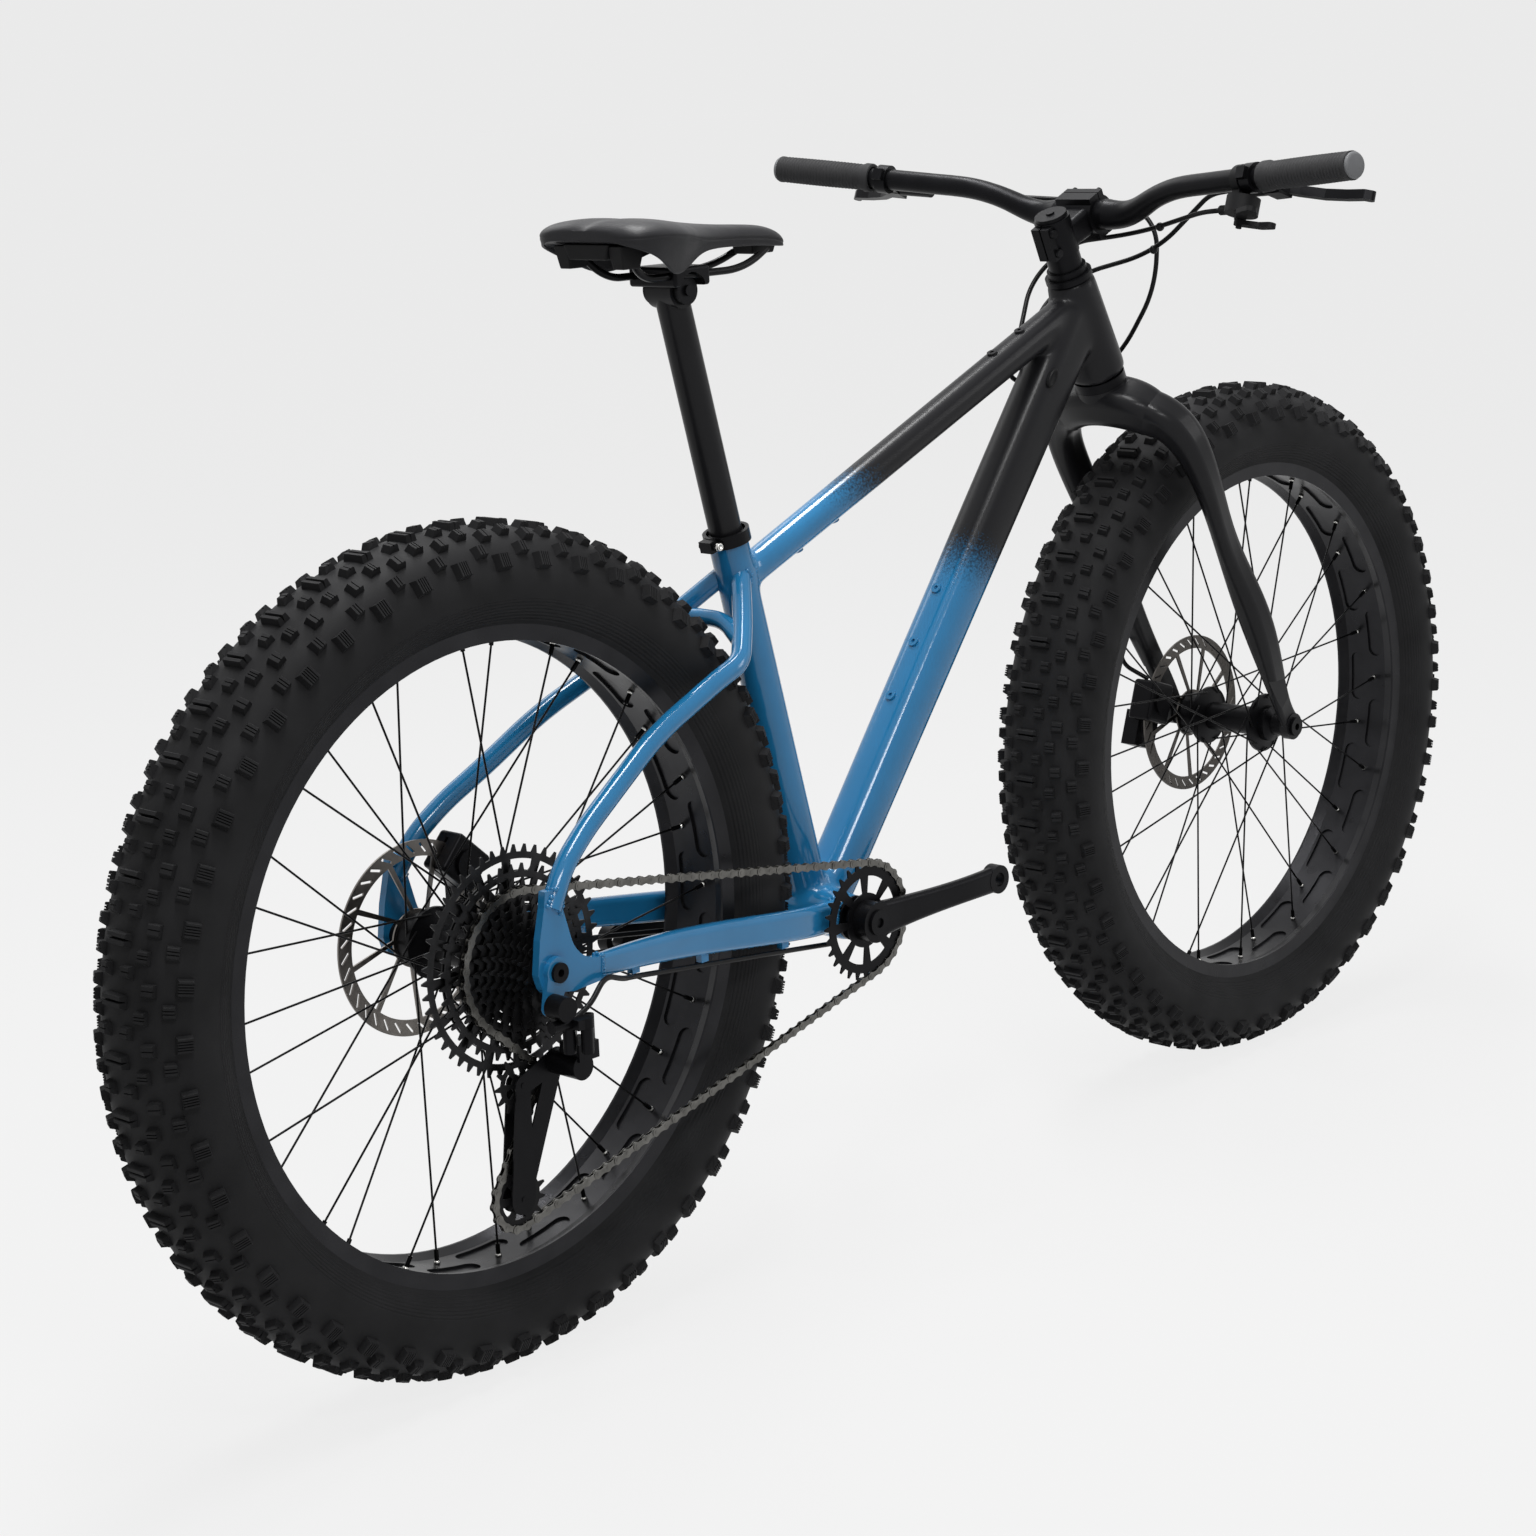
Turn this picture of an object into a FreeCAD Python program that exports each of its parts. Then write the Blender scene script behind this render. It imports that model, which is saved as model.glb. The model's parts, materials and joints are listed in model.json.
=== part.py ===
"""Fat tire bike: frame, fork, wheels, drivetrain, brakes and seat as separate pieces, in millimetres."""
import FreeCAD, Part
import math
import os
import Sketcher
from types import SimpleNamespace

V = FreeCAD.Vector
Rotation = FreeCAD.Rotation
Placement = FreeCAD.Placement
X_AXIS = V(1, 0, 0)
Y_AXIS = V(0, 1, 0)
Z_AXIS = V(0, 0, 1)
ORIGIN = V(0, 0, 0)

doc = FreeCAD.newDocument("fat_tire_bike")
sheet = doc.addObject("Spreadsheet::Sheet", "sizes")

# Driving dimensions: name, millimetres or degrees, meaning
SIZES = [
    ("wheelbase", 1166.0, "distance between the axles"),
    ("tyre_radius", 384.0, "ground to axle"),
    ("tyre_half_width", 57.0, "half the inflated width"),
    ("tyre_wall", 2.6, "casing thickness"),
    ("bead_radius", 292.0, "bead seat of a 27.5 inch rim"),
    ("rim_half_width", 40.0, "half the outside width"),
    ("rim_inner_radius", 280.4, "inner edge of the rim"),
    ("rim_wall", 2.4, "rim wall thickness"),
    ("rim_window_length", 58.0, "length of a lightening window"),
    ("rim_window_width", 18.0, "width of a lightening window"),
    ("spoke_radius", 1.0, "plain gauge spoke"),
    ("spoke_count", 32.0, "spokes in a wheel"),
    ("flange_radius", 33.0, "hub flange"),
    ("flange_hole_radius", 29.0, "spoke circle in the flange"),
    ("flange_thickness", 3.5, "hub flange thickness"),
    ("front_hub_width", 150.0, "between the fork ends"),
    ("front_axle_radius", 7.5, "15 mm through axle"),
    ("front_flange_right", 44.0, "flange centre to the right of centre"),
    ("front_flange_left", 32.0, "flange centre to the left of centre"),
    ("front_rotor_y", 58.0, "rotor centre to the left of centre"),
    ("rear_hub_width", 197.0, "between the frame ends"),
    ("rear_axle_radius", 6.0, "12 mm through axle"),
    ("rear_flange_right", 38.0, "flange centre to the right of centre"),
    ("rear_flange_left", 50.0, "flange centre to the left of centre"),
    ("rear_rotor_y", 76.0, "rotor centre to the left of centre"),
    ("rotor_radius", 90.0, "180 mm disc"),
    ("rotor_track", 15.0, "depth of the braking track"),
    ("rotor_thickness", 1.85, "disc thickness"),
    ("running_gap", 0.05, "radial clearance of a turning fit"),
    ("face_gap", 0.3, "side clearance between moving pieces"),
    ("chainstay_run", 438.0, "rear axle to crank axle, level"),
    ("crank_drop", 60.0, "crank axle below the wheel axles"),
    ("crank_length", 175.0, "crank axle to pedal axle"),
    ("crank_tilt", 2.0, "right crank above level"),
    ("crank_bolt_y", 93.0, "outer face of the crank boss"),
    ("pedal_face_y", 103.0, "outer face of the pedal boss"),
    ("pedal_hole_radius", 7.1, "9/16 inch pedal thread"),
    ("spindle_radius", 14.5, "crank spindle"),
    ("shell_half_width", 60.5, "half the crank shell width"),
    ("shell_radius", 23.0, "crank shell outside"),
    ("shell_bore", 20.5, "crank shell bore"),
    ("chain_pitch", 12.7, "half inch chain"),
    ("ring_teeth", 28.0, "chainring teeth"),
    ("ring_y", 76.5, "chainring plane to the right of centre"),
    ("ring_thickness", 1.4, "chainring plate"),
    ("cog_pitch", 3.75, "spacing of the cogs"),
    ("cog_thickness", 1.6, "cog plate"),
    ("largest_cog_y", 52.0, "largest cog to the right of centre"),
    ("chain_cog", 8.0, "place of the cog in use, counted from the smallest"),
    ("jockey_teeth", 12.0, "upper jockey wheel teeth"),
    ("lower_jockey_teeth", 14.0, "lower jockey wheel teeth"),
    ("seat_angle", 75.55, "seat tube from level"),
    ("seat_offset", 7.0, "seat tube axis ahead of the crank axle"),
    ("seat_tube_length", 402.0, "crank axle to the top of the seat tube, along it"),
    ("seat_tube_radius", 19.0, "seat tube outside"),
    ("post_radius", 15.8, "31.6 mm seatpost"),
    ("post_showing", 236.0, "seatpost above the clamp"),
    ("head_angle", 66.0, "steering axis from level"),
    ("fork_offset", 51.0, "axle ahead of the steering axis"),
    ("crown_height", 470.0, "lower headset cover along the steering axis"),
    ("head_tube_length", 115.0, "head tube"),
    ("head_low_radius", 30.0, "head tube at the bottom"),
    ("head_top_radius", 25.0, "head tube at the top"),
    ("steerer_radius", 14.3, "steerer at the stem"),
    ("spacer_stack", 30.0, "headset cover and spacers"),
    ("stem_height", 40.0, "stem clamp on the steerer"),
    ("stem_length", 50.8, "steerer to bar"),
    ("bar_radius", 15.9, "31.8 mm bar clamp"),
    ("bar_end_radius", 11.1, "22.2 mm bar ends"),
    ("bar_half_width", 371.0, "half the bar width"),
    ("bar_rise", 73.0, "bar ends above the clamp, along the steering axis"),
    ("bar_back", 37.0, "bar ends behind the clamp"),
    ("grip_radius", 14.2, "grip outside"),
    ("grip_length", 121.5, "grip"),
    ("top_tube_seat", 350.5, "top tube joint along the seat tube"),
    ("top_tube_head", 567.0, "top tube joint along the steering axis"),
    ("down_tube_head", 568.0, "down tube joint along the steering axis"),
    ("tube_wall", 2.2, "frame tube wall"),
    ("blade_half_spacing", 85.0, "fork blade from the centre plane"),
    ("stay_radius", 9.5, "seatstay"),
    ("stay_clear", 8.0, "room between tyre and stays"),
    ("dropout_thickness", 8.0, "rear frame ends"),
    ("link_length", 40.0, "derailleur link between its pins"),
    ("lever_reach", 68.0, "brake lever blade"),
    ("saddle_length", 258.0, "saddle"),
    ("saddle_half_width", 71.0, "half the saddle width"),
    ("rail_radius", 3.5, "saddle rail"),
    ("hose_radius", 2.5, "brake hose and shift housing"),
]


class Size:
    """A number taken from the sheet together with the expression that gives it."""

    def __init__(self, value, text):
        self.value = float(value)
        self.text = text

    def __add__(self, other):
        other = as_size(other)
        return Size(self.value + other.value, "(" + self.text + " + " + other.text + ")")

    def __radd__(self, other):
        return as_size(other) + self

    def __sub__(self, other):
        other = as_size(other)
        return Size(self.value - other.value, "(" + self.text + " - " + other.text + ")")

    def __rsub__(self, other):
        return as_size(other) - self

    def __mul__(self, other):
        other = as_size(other)
        return Size(self.value * other.value, "(" + self.text + " * " + other.text + ")")

    def __rmul__(self, other):
        return as_size(other) * self

    def __truediv__(self, other):
        other = as_size(other)
        return Size(self.value / other.value, "(" + self.text + " / " + other.text + ")")

    def __neg__(self):
        return Size(-self.value, "(-1 * " + self.text + ")")


def as_size(number):
    """Give plain numbers the same form as sizes from the sheet."""
    if isinstance(number, Size):
        return number
    return Size(number, "(" + repr(float(number)) + ")")


s = SimpleNamespace()
n = SimpleNamespace()
for row, (alias, value, meaning) in enumerate(SIZES, start=1):
    sheet.set("A" + str(row), alias)
    sheet.set("B" + str(row), str(value))
    sheet.set("C" + str(row), meaning)
    sheet.setAlias("B" + str(row), alias)
    setattr(s, alias, Size(value, "sizes." + alias))
    setattr(n, alias, value)
doc.recompute()

nodes = {}


def polar(radius, degrees):
    """Point of the side view at a distance and angle from the origin."""
    return V(radius * math.cos(math.radians(degrees)), 0, radius * math.sin(math.radians(degrees)))


# Main points of the frame, side view in the centre plane
REAR = V(-n.wheelbase / 2, 0, n.tyre_radius)
FRONT = V(n.wheelbase / 2, 0, n.tyre_radius)
CRANK = REAR + V(n.chainstay_run, 0, -n.crank_drop)
STEER_TURN = Rotation(Y_AXIS, n.head_angle - 90)
STEER_UP = STEER_TURN.multVec(Z_AXIS)
STEER_FORE = STEER_TURN.multVec(X_AXIS)
STEER_FOOT = FRONT - STEER_FORE * n.fork_offset
SEAT_TURN = Rotation(Y_AXIS, n.seat_angle - 90)
SEAT_UP = SEAT_TURN.multVec(Z_AXIS)
SEAT_FORE = SEAT_TURN.multVec(X_AXIS)
SEAT_FOOT = CRANK + V(n.seat_offset, 0, 0)


def steer(height, fore=0.0, left=0.0):
    """Point given along the steering axis, ahead of it and to the left."""
    return STEER_FOOT + STEER_UP * height + STEER_FORE * fore + V(0, left, 0)


def seat(height, fore=0.0, left=0.0):
    """Point given along the seat tube, ahead of it and to the left."""
    return SEAT_FOOT + SEAT_UP * height + SEAT_FORE * fore + V(0, left, 0)


# Helpers for bodies drawn with sketches


def new_body(label, origin=ORIGIN, turn=None):
    """Start a body at a point of the bike."""
    body = doc.addObject("PartDesign::Body", label)
    body.Label = label
    body.Placement = Placement(origin, turn or Rotation())
    return body


def origin_part(body, role):
    """Plane or axis of a body's own origin."""
    for feature in body.Origin.OriginFeatures:
        if feature.Role == role:
            return feature
    raise RuntimeError(role)


def new_sketch(body, role, offset=None):
    """Start a sketch on an origin plane, shifted along its normal."""
    sketch = body.newObject("Sketcher::SketchObject", body.Name + "_sketch")
    sketch.AttachmentSupport = [(origin_part(body, role), "")]
    sketch.MapMode = "FlatFace"
    if offset is not None:
        offset = as_size(offset)
        sketch.AttachmentOffset = Placement(V(0, 0, offset.value), Rotation())
        sketch.setExpression("AttachmentOffset.Base.z", offset.text)
    return sketch


def pin_point(sketch, geometry, vertex, x, y):
    """Hold a sketch vertex at sheet-driven coordinates."""
    for kind, size in (("DistanceX", as_size(x)), ("DistanceY", as_size(y))):
        if size.value == 0.0:
            axis = -2 if kind == "DistanceX" else -1
            sketch.addConstraint(Sketcher.Constraint("PointOnObject", geometry, vertex, axis))
            continue
        index = sketch.addConstraint(Sketcher.Constraint(kind, -1, 1, geometry, vertex, size.value))
        name = "k" + str(index)
        sketch.renameConstraint(index, name)
        sketch.setExpression("Constraints." + name, size.text)


def circle_through(a, b, c):
    """Centre and radius of the circle through three points."""
    d = 2 * (a[0] * (b[1] - c[1]) + b[0] * (c[1] - a[1]) + c[0] * (a[1] - b[1]))
    qa = a[0] ** 2 + a[1] ** 2
    qb = b[0] ** 2 + b[1] ** 2
    qc = c[0] ** 2 + c[1] ** 2
    cx = (qa * (b[1] - c[1]) + qb * (c[1] - a[1]) + qc * (a[1] - b[1])) / d
    cy = (qa * (c[0] - b[0]) + qb * (a[0] - c[0]) + qc * (b[0] - a[0])) / d
    return cx, cy, math.hypot(a[0] - cx, a[1] - cy)


def draw(sketch, points):
    """Closed outline through corners; a point marked "arc" bows the edge between its neighbours."""
    corners = [p for p in points if p[0] != "arc"]
    bows = {}
    count = -1
    for p in points:
        if p[0] == "arc":
            bows[count] = p[1:]
        else:
            count += 1
    flat = [(as_size(x).value, as_size(y).value) for x, y in corners]
    edges = []
    for i, a in enumerate(flat):
        b = flat[(i + 1) % len(flat)]
        if i not in bows:
            line = Part.LineSegment(V(a[0], a[1], 0), V(b[0], b[1], 0))
            edges.append((sketch.addGeometry(line), 1, 2))
            continue
        mid = tuple(as_size(v).value for v in bows[i])
        cx, cy, radius = circle_through(a, mid, b)
        start = math.atan2(a[1] - cy, a[0] - cx)
        end = math.atan2(b[1] - cy, b[0] - cx)
        turn = (mid[0] - a[0]) * (b[1] - mid[1]) - (mid[1] - a[1]) * (b[0] - mid[0])
        circle = Part.Circle(V(cx, cy, 0), Z_AXIS, radius)
        if turn > 0:
            edges.append((sketch.addGeometry(Part.ArcOfCircle(circle, start, end)), 1, 2))
        else:
            edges.append((sketch.addGeometry(Part.ArcOfCircle(circle, end, start)), 2, 1))
    for i, (geometry, first, last) in enumerate(edges):
        after, after_first, after_last = edges[(i + 1) % len(edges)]
        sketch.addConstraint(Sketcher.Constraint("Coincident", geometry, last, after, after_first))
        pin_point(sketch, geometry, first, *corners[i])
        if i in bows:
            x, y = (as_size(v) for v in bows[i])
            mark = sketch.addGeometry(Part.Point(V(x.value, y.value, 0)), True)
            pin_point(sketch, mark, 1, x, y)
            sketch.addConstraint(Sketcher.Constraint("PointOnObject", mark, 1, geometry))


def draw_circle(sketch, x, y, radius):
    """Circle held by its centre and radius."""
    x, y, radius = as_size(x), as_size(y), as_size(radius)
    circle = sketch.addGeometry(Part.Circle(V(x.value, y.value, 0), Z_AXIS, radius.value))
    pin_point(sketch, circle, 3, x, y)
    index = sketch.addConstraint(Sketcher.Constraint("Radius", circle, radius.value))
    name = "k" + str(index)
    sketch.renameConstraint(index, name)
    sketch.setExpression("Constraints." + name, radius.text)


def revolve(body, points, role="XY_Plane", axis="V_Axis", cavities=()):
    """Turn an outline about an axis of its sketch, leaving out any cavities."""
    sketch = new_sketch(body, role)
    draw(sketch, points)
    for cavity in cavities:
        draw(sketch, cavity)
    feature = body.newObject("PartDesign::Revolution", body.Name + "_turned")
    feature.Profile = sketch
    feature.ReferenceAxis = (sketch, [axis])
    feature.Angle = 360
    body.Tip = feature
    sketch.Visibility = False
    return feature


def pad(body, sketch, length, back=False):
    """Raise a sketch along its normal, or against it."""
    feature = body.newObject("PartDesign::Pad", body.Name + "_pad")
    feature.Profile = sketch
    length = as_size(length)
    feature.Length = length.value
    feature.setExpression("Length", length.text)
    feature.Reversed = back
    body.Tip = feature
    return feature


def pocket(body, sketch, back=False):
    """Cut a sketch through everything on one side of it."""
    feature = body.newObject("PartDesign::Pocket", body.Name + "_pocket")
    feature.Profile = sketch
    feature.Type = "ThroughAll"
    feature.Reversed = back
    body.Tip = feature
    return feature


def ring_of(body, feature, count, role="Y_Axis"):
    """Repeat a feature evenly about an axis of the body's origin."""
    pattern = body.newObject("PartDesign::PolarPattern", body.Name + "_pattern")
    pattern.Originals = [feature]
    pattern.Axis = (origin_part(body, role), [""])
    pattern.Angle = 360
    pattern.Occurrences = int(count)
    body.Tip = pattern
    return pattern


def node(obj):
    """Hand a finished object in under its label."""
    nodes[obj.Label] = obj
    return obj


def group(label, members):
    """Several solids that belong to one piece."""
    compound = doc.addObject("Part::Compound", label)
    compound.Label = label
    compound.Links = members
    return node(compound)


def feature_of(label, shape):
    """Free form whose sizes are read from the sheet by the code that makes it."""
    obj = doc.addObject("Part::Feature", label)
    obj.Label = label
    obj.Shape = shape
    return obj


# Helpers for free forms


def rod(start, end, radius):
    """Round bar between two points."""
    return Part.makeCylinder(radius, (end - start).Length, start, end - start)


def sleeve(start, end, radius, bore):
    """Round tube between two points."""
    reach = (end - start).normalize() * 1.0
    return rod(start, end, radius).cut(rod(start - reach, end + reach, bore))


def cross_section(centre, along, side, half_side, half_rise, corner):
    """Rounded rectangle square to a direction."""
    along = V(along).normalize()
    side = V(side)
    side = (side - along * side.dot(along)).normalize()
    rise = along.cross(side)
    corner = min(corner, half_side * 0.98, half_rise * 0.98)
    flat_s = half_side - corner
    flat_r = half_rise - corner
    bow = corner * (1 - math.sqrt(0.5))
    edges = []
    ends = []
    for ks, kr in ((1, 1), (-1, 1), (-1, -1), (1, -1)):
        a = (ks * half_side, kr * flat_r)
        b = (ks * flat_s, kr * half_rise)
        mid = (ks * (half_side - bow), kr * (half_rise - bow))
        if ks * kr < 0:
            a, b = b, a
        ends.append((a, mid, b))

    def spot(pair):
        return centre + side * pair[0] + rise * pair[1]

    for i, (a, mid, b) in enumerate(ends):
        edges.append(Part.Arc(spot(a), spot(mid), spot(b)).toShape())
        edges.append(Part.makeLine(spot(b), spot(ends[(i + 1) % 4][0])))
    return Part.Wire(edges)


def skin(sections, ruled=False):
    """Solid through a row of rounded sections."""
    return Part.makeLoft([cross_section(*row) for row in sections], True, ruled)


def run_of(points, share=0.45):
    """Straight runs joined by tangent arcs as large as the runs allow."""
    edges = []
    last = points[0]
    for before, corner, after in zip(points, points[1:], points[2:]):
        enter = (corner - before).normalize()
        leave = (after - corner).normalize()
        half = 0.5 * math.acos(max(-1.0, min(1.0, enter.dot(leave))))
        if half < 1e-4:
            continue
        cut = share * min((corner - before).Length, (after - corner).Length)
        radius = cut / math.tan(half)
        first = corner - enter * cut
        end = corner + leave * cut
        inward = (leave - enter).normalize()
        mid = corner + inward * (radius / math.cos(half) - radius)
        edges.append(Part.makeLine(last, first))
        edges.append(Part.Arc(first, mid, end).toShape())
        last = end
    edges.append(Part.makeLine(last, points[-1]))
    return Part.Wire(edges)


def cord(points, radius):
    """Round cord along a run of points, checked against its section times its length."""
    path = run_of(points)
    lengths = []
    for edge in path.OrderedEdges:
        start = edge.valueAt(edge.FirstParameter)
        if isinstance(edge.Curve, Part.Line):
            lengths.append(rod(start, edge.valueAt(edge.LastParameter), radius))
            continue
        middle = edge.Curve.Center
        tangent = edge.tangentAt(edge.FirstParameter)
        axis = (start - middle).cross(tangent)
        disc = Part.Face(Part.Wire([Part.makeCircle(radius, start, tangent)]))
        lengths.append(disc.revolve(middle, axis, math.degrees(edge.Length / edge.Curve.Radius)))
    solid = lengths[0].fuse(lengths[1:]) if len(lengths) > 1 else lengths[0]
    solid = max(solid.Solids, key=lambda piece: piece.Volume)
    wanted = math.pi * radius ** 2 * path.Length
    if abs(solid.Volume - wanted) > 0.02 * wanted:
        raise RuntimeError("cord volume " + str(solid.Volume) + " for " + str(wanted))
    return solid


def mirrored(shape):
    """The same shape on the other side of the bike."""
    return shape.mirror(ORIGIN, Y_AXIS)


def pitch_radius(teeth):
    """Radius on which the chain rollers sit."""
    return n.chain_pitch / (2 * math.sin(math.pi / teeth))


def toothed_wire(teeth, phase):
    """Sprocket outline in the side view, with a valley at the phase angle."""
    roller = 4.0
    pitch = pitch_radius(teeth)
    low = pitch - roller
    high = pitch + 2.7
    step = 360.0 / teeth
    points = []
    for k in range(int(teeth)):
        at = phase + step * k
        half = math.degrees(3.1 / low)
        half = min(half, step * 0.24)
        crest = min(math.degrees(0.9 / high), step * 0.12)
        points.append(polar(low, at - half))
        points.append(polar(low, at + half))
        points.append(polar(high, at + step / 2 - crest))
        points.append(polar(high, at + step / 2 + crest))
    return Part.makePolygon(points + points[:1])


def ring_window(inner, outer, start, end):
    """Opening between two radii and two angles, rounded by its arcs."""
    mid = (start + end) / 2
    return Part.Wire([
        Part.Arc(polar(inner, start), polar(inner, mid), polar(inner, end)).toShape(),
        Part.makeLine(polar(inner, end), polar(outer, end)),
        Part.Arc(polar(outer, end), polar(outer, mid), polar(outer, start)).toShape(),
        Part.makeLine(polar(outer, start), polar(inner, start)),
    ])


def plate(wires, thickness):
    """Flat plate from an outline and its openings, half on each side of the centre plane."""
    face = Part.makeFace(wires, "Part::FaceMakerBullseye")
    solid = face.extrude(V(0, thickness, 0))
    solid.translate(V(0, -thickness / 2, 0))
    return solid


# Wheels


def make_tyre(label, centre):
    """Hollow casing whose outside lies on the tops of the tread."""
    body = new_body(label, centre)
    low = s.bead_radius + 0.1
    lip = s.bead_radius + 7
    widest = s.bead_radius + (s.tyre_radius - s.bead_radius) * 0.47
    shoulder = s.tyre_radius - 19
    crown = s.tyre_radius
    inside = s.tyre_radius - 8.5
    seat_y = s.rim_half_width - s.rim_wall - 0.1
    side = s.tyre_half_width
    edge = s.tyre_half_width * 0.78
    revolve(body, [
        (low, seat_y), (lip, seat_y), ("arc", widest, side), (shoulder, edge), ("arc", crown, 0),
        (shoulder, -edge), ("arc", widest, -side), (lip, -seat_y), (low, -seat_y),
        (low, 6 - seat_y), (lip, 5 - seat_y), ("arc", widest, s.tyre_wall - side),
        (shoulder - 4, s.tyre_wall - edge), ("arc", inside, 0), (shoulder - 4, edge - s.tyre_wall),
        ("arc", widest, side - s.tyre_wall), (lip, seat_y - 5), (low, seat_y - 6),
    ])
    node(body)


def make_rim(label, centre):
    """Single wall rim with two rows of windows, and the strip behind them."""
    body = new_body(label + "_hoop", centre)
    half = s.rim_half_width
    web = s.bead_radius - 7.5
    top = web + s.rim_wall
    lip = s.bead_radius + 6
    inner = s.rim_inner_radius
    revolve(body, [
        (lip, half), (inner, half - 1.6), (inner, half - 4), (web, 25), (web, -25), (inner, 4 - half),
        (inner, 1.6 - half), (lip, -half), (lip, s.rim_wall - half), (s.bead_radius, s.rim_wall - half),
        (s.bead_radius, -28), (top, -25), (top, 25), (s.bead_radius, 28),
        (s.bead_radius, half - s.rim_wall), (lip, half - s.rim_wall),
    ], cavities=[
        [(inner + 2, half - 4.5), (s.bead_radius - 2, half - 4.5), (s.bead_radius - 2, 29), (web + 2.5,
            28)],
        [(inner + 2, 4.5 - half), (s.bead_radius - 2, 4.5 - half), (s.bead_radius - 2, -29), (web + 2.5,
            -28)],
    ])
    count = s.spoke_count.value / 2
    long = s.rim_window_length / 2
    wide = s.rim_window_width / 2
    for at, turn in ((12.5, 0.0), (-12.5, 180.0 / count)):
        sketch = new_sketch(body, "YZ_Plane")
        sketch.AttachmentOffset = Placement(ORIGIN, Rotation(X_AXIS, turn))
        draw(sketch, [
            (at - wide, wide - long), ("arc", at, -long), (at + wide, wide - long),
            (at + wide, long - wide), ("arc", at, long), (at - wide, long - wide),
        ])
        ring_of(body, pocket(body, sketch, back=True), count)
    strip = new_body(label + "_strip", centre)
    revolve(strip, [(top + 0.1, 24.5), (top + 0.8, 24.5), (top + 0.8, -24.5), (top + 0.1, -24.5)])
    group(label, [body, strip])


def make_spokes(label, centre, right, left):
    """Spokes laced three cross, each with its nipple."""
    shapes = []
    count = int(n.spoke_count)
    step = 360.0 / count
    off = n.flange_thickness / 2 + n.spoke_radius + 1.6
    rim_radius = n.bead_radius - 7.5 - 0.35
    for j in range(count):
        side = 1 if j % 2 == 0 else -1
        outer = (j // 2) % 2 == 0
        at = step * (j + 1)
        flange = left if side > 0 else right
        hub_y = side * (flange + (off if outer else -off))
        hub = polar(n.flange_hole_radius, at + (1 if outer else -1) * 3 * 720.0 / count)
        start = centre + hub + V(0, hub_y, 0)
        end = centre + polar(rim_radius, at) + V(0, side * 10.0, 0)
        along = (end - start).normalize()
        spoke = rod(start, end - along * 12.0, n.spoke_radius)
        nipple = rod(end - along * 13.0, end - along * 0.6, n.spoke_radius * 2.1)
        shapes.append(spoke.fuse(nipple).removeSplitter())
    node(feature_of(label, Part.Compound([shape.Solids[0] for shape in shapes])))


def make_front_hub(label, centre):
    """Shell with two flanges and the rotor seat, turning on the axle."""
    body = new_body(label, centre)
    bore = s.front_axle_radius + s.running_gap
    half = s.front_hub_width / 2 - s.face_gap
    right = s.front_flange_right
    left = s.front_flange_left
    t = s.flange_thickness / 2
    seat_y = s.front_rotor_y - s.rotor_thickness / 2
    revolve(body, [
        (bore, -half), (12.5, -half), (12.5, -(right + 16)), (20, -(right + 12)), (20, -(right + t + 2)),
        (s.flange_radius, -(right + t)), (s.flange_radius, t - right), (16, t + 4 - right),
        (16, left - t - 4), (s.flange_radius, left - t), (s.flange_radius, left + t), (24, left + t + 2),
        (24, seat_y), (12.5, seat_y), (12.5, half), (bore, half), (bore, half - 16), (bore + 3,
        half - 18),
        (bore + 3, 18 - half), (bore, 16 - half),
    ])
    node(body)


def make_rear_hub(label, centre):
    """Shell with two flanges and the rotor seat; the freehub runs beside it."""
    body = new_body(label, centre)
    bore = s.rear_axle_radius + s.running_gap
    half = s.rear_hub_width / 2 - s.face_gap
    right = s.rear_flange_right
    left = s.rear_flange_left
    t = s.flange_thickness / 2
    end = right + t + 3.5
    seat_y = s.rear_rotor_y - s.rotor_thickness / 2
    revolve(body, [
        (bore, -end), (22, -end), (22, -(right + t + 1)), (s.flange_radius, -(right + t)),
        (s.flange_radius, t - right), (17, t + 5 - right), (17, left - t - 5), (s.flange_radius,
        left - t),
        (s.flange_radius, left + t), (24, left + t + 2), (24, seat_y), (12.5, seat_y), (12.5, half),
        (bore, half), (bore, half - 16), (bore + 4, half - 18), (bore + 4, 16 - end), (bore, 14 - end),
    ])
    node(body)


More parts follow.
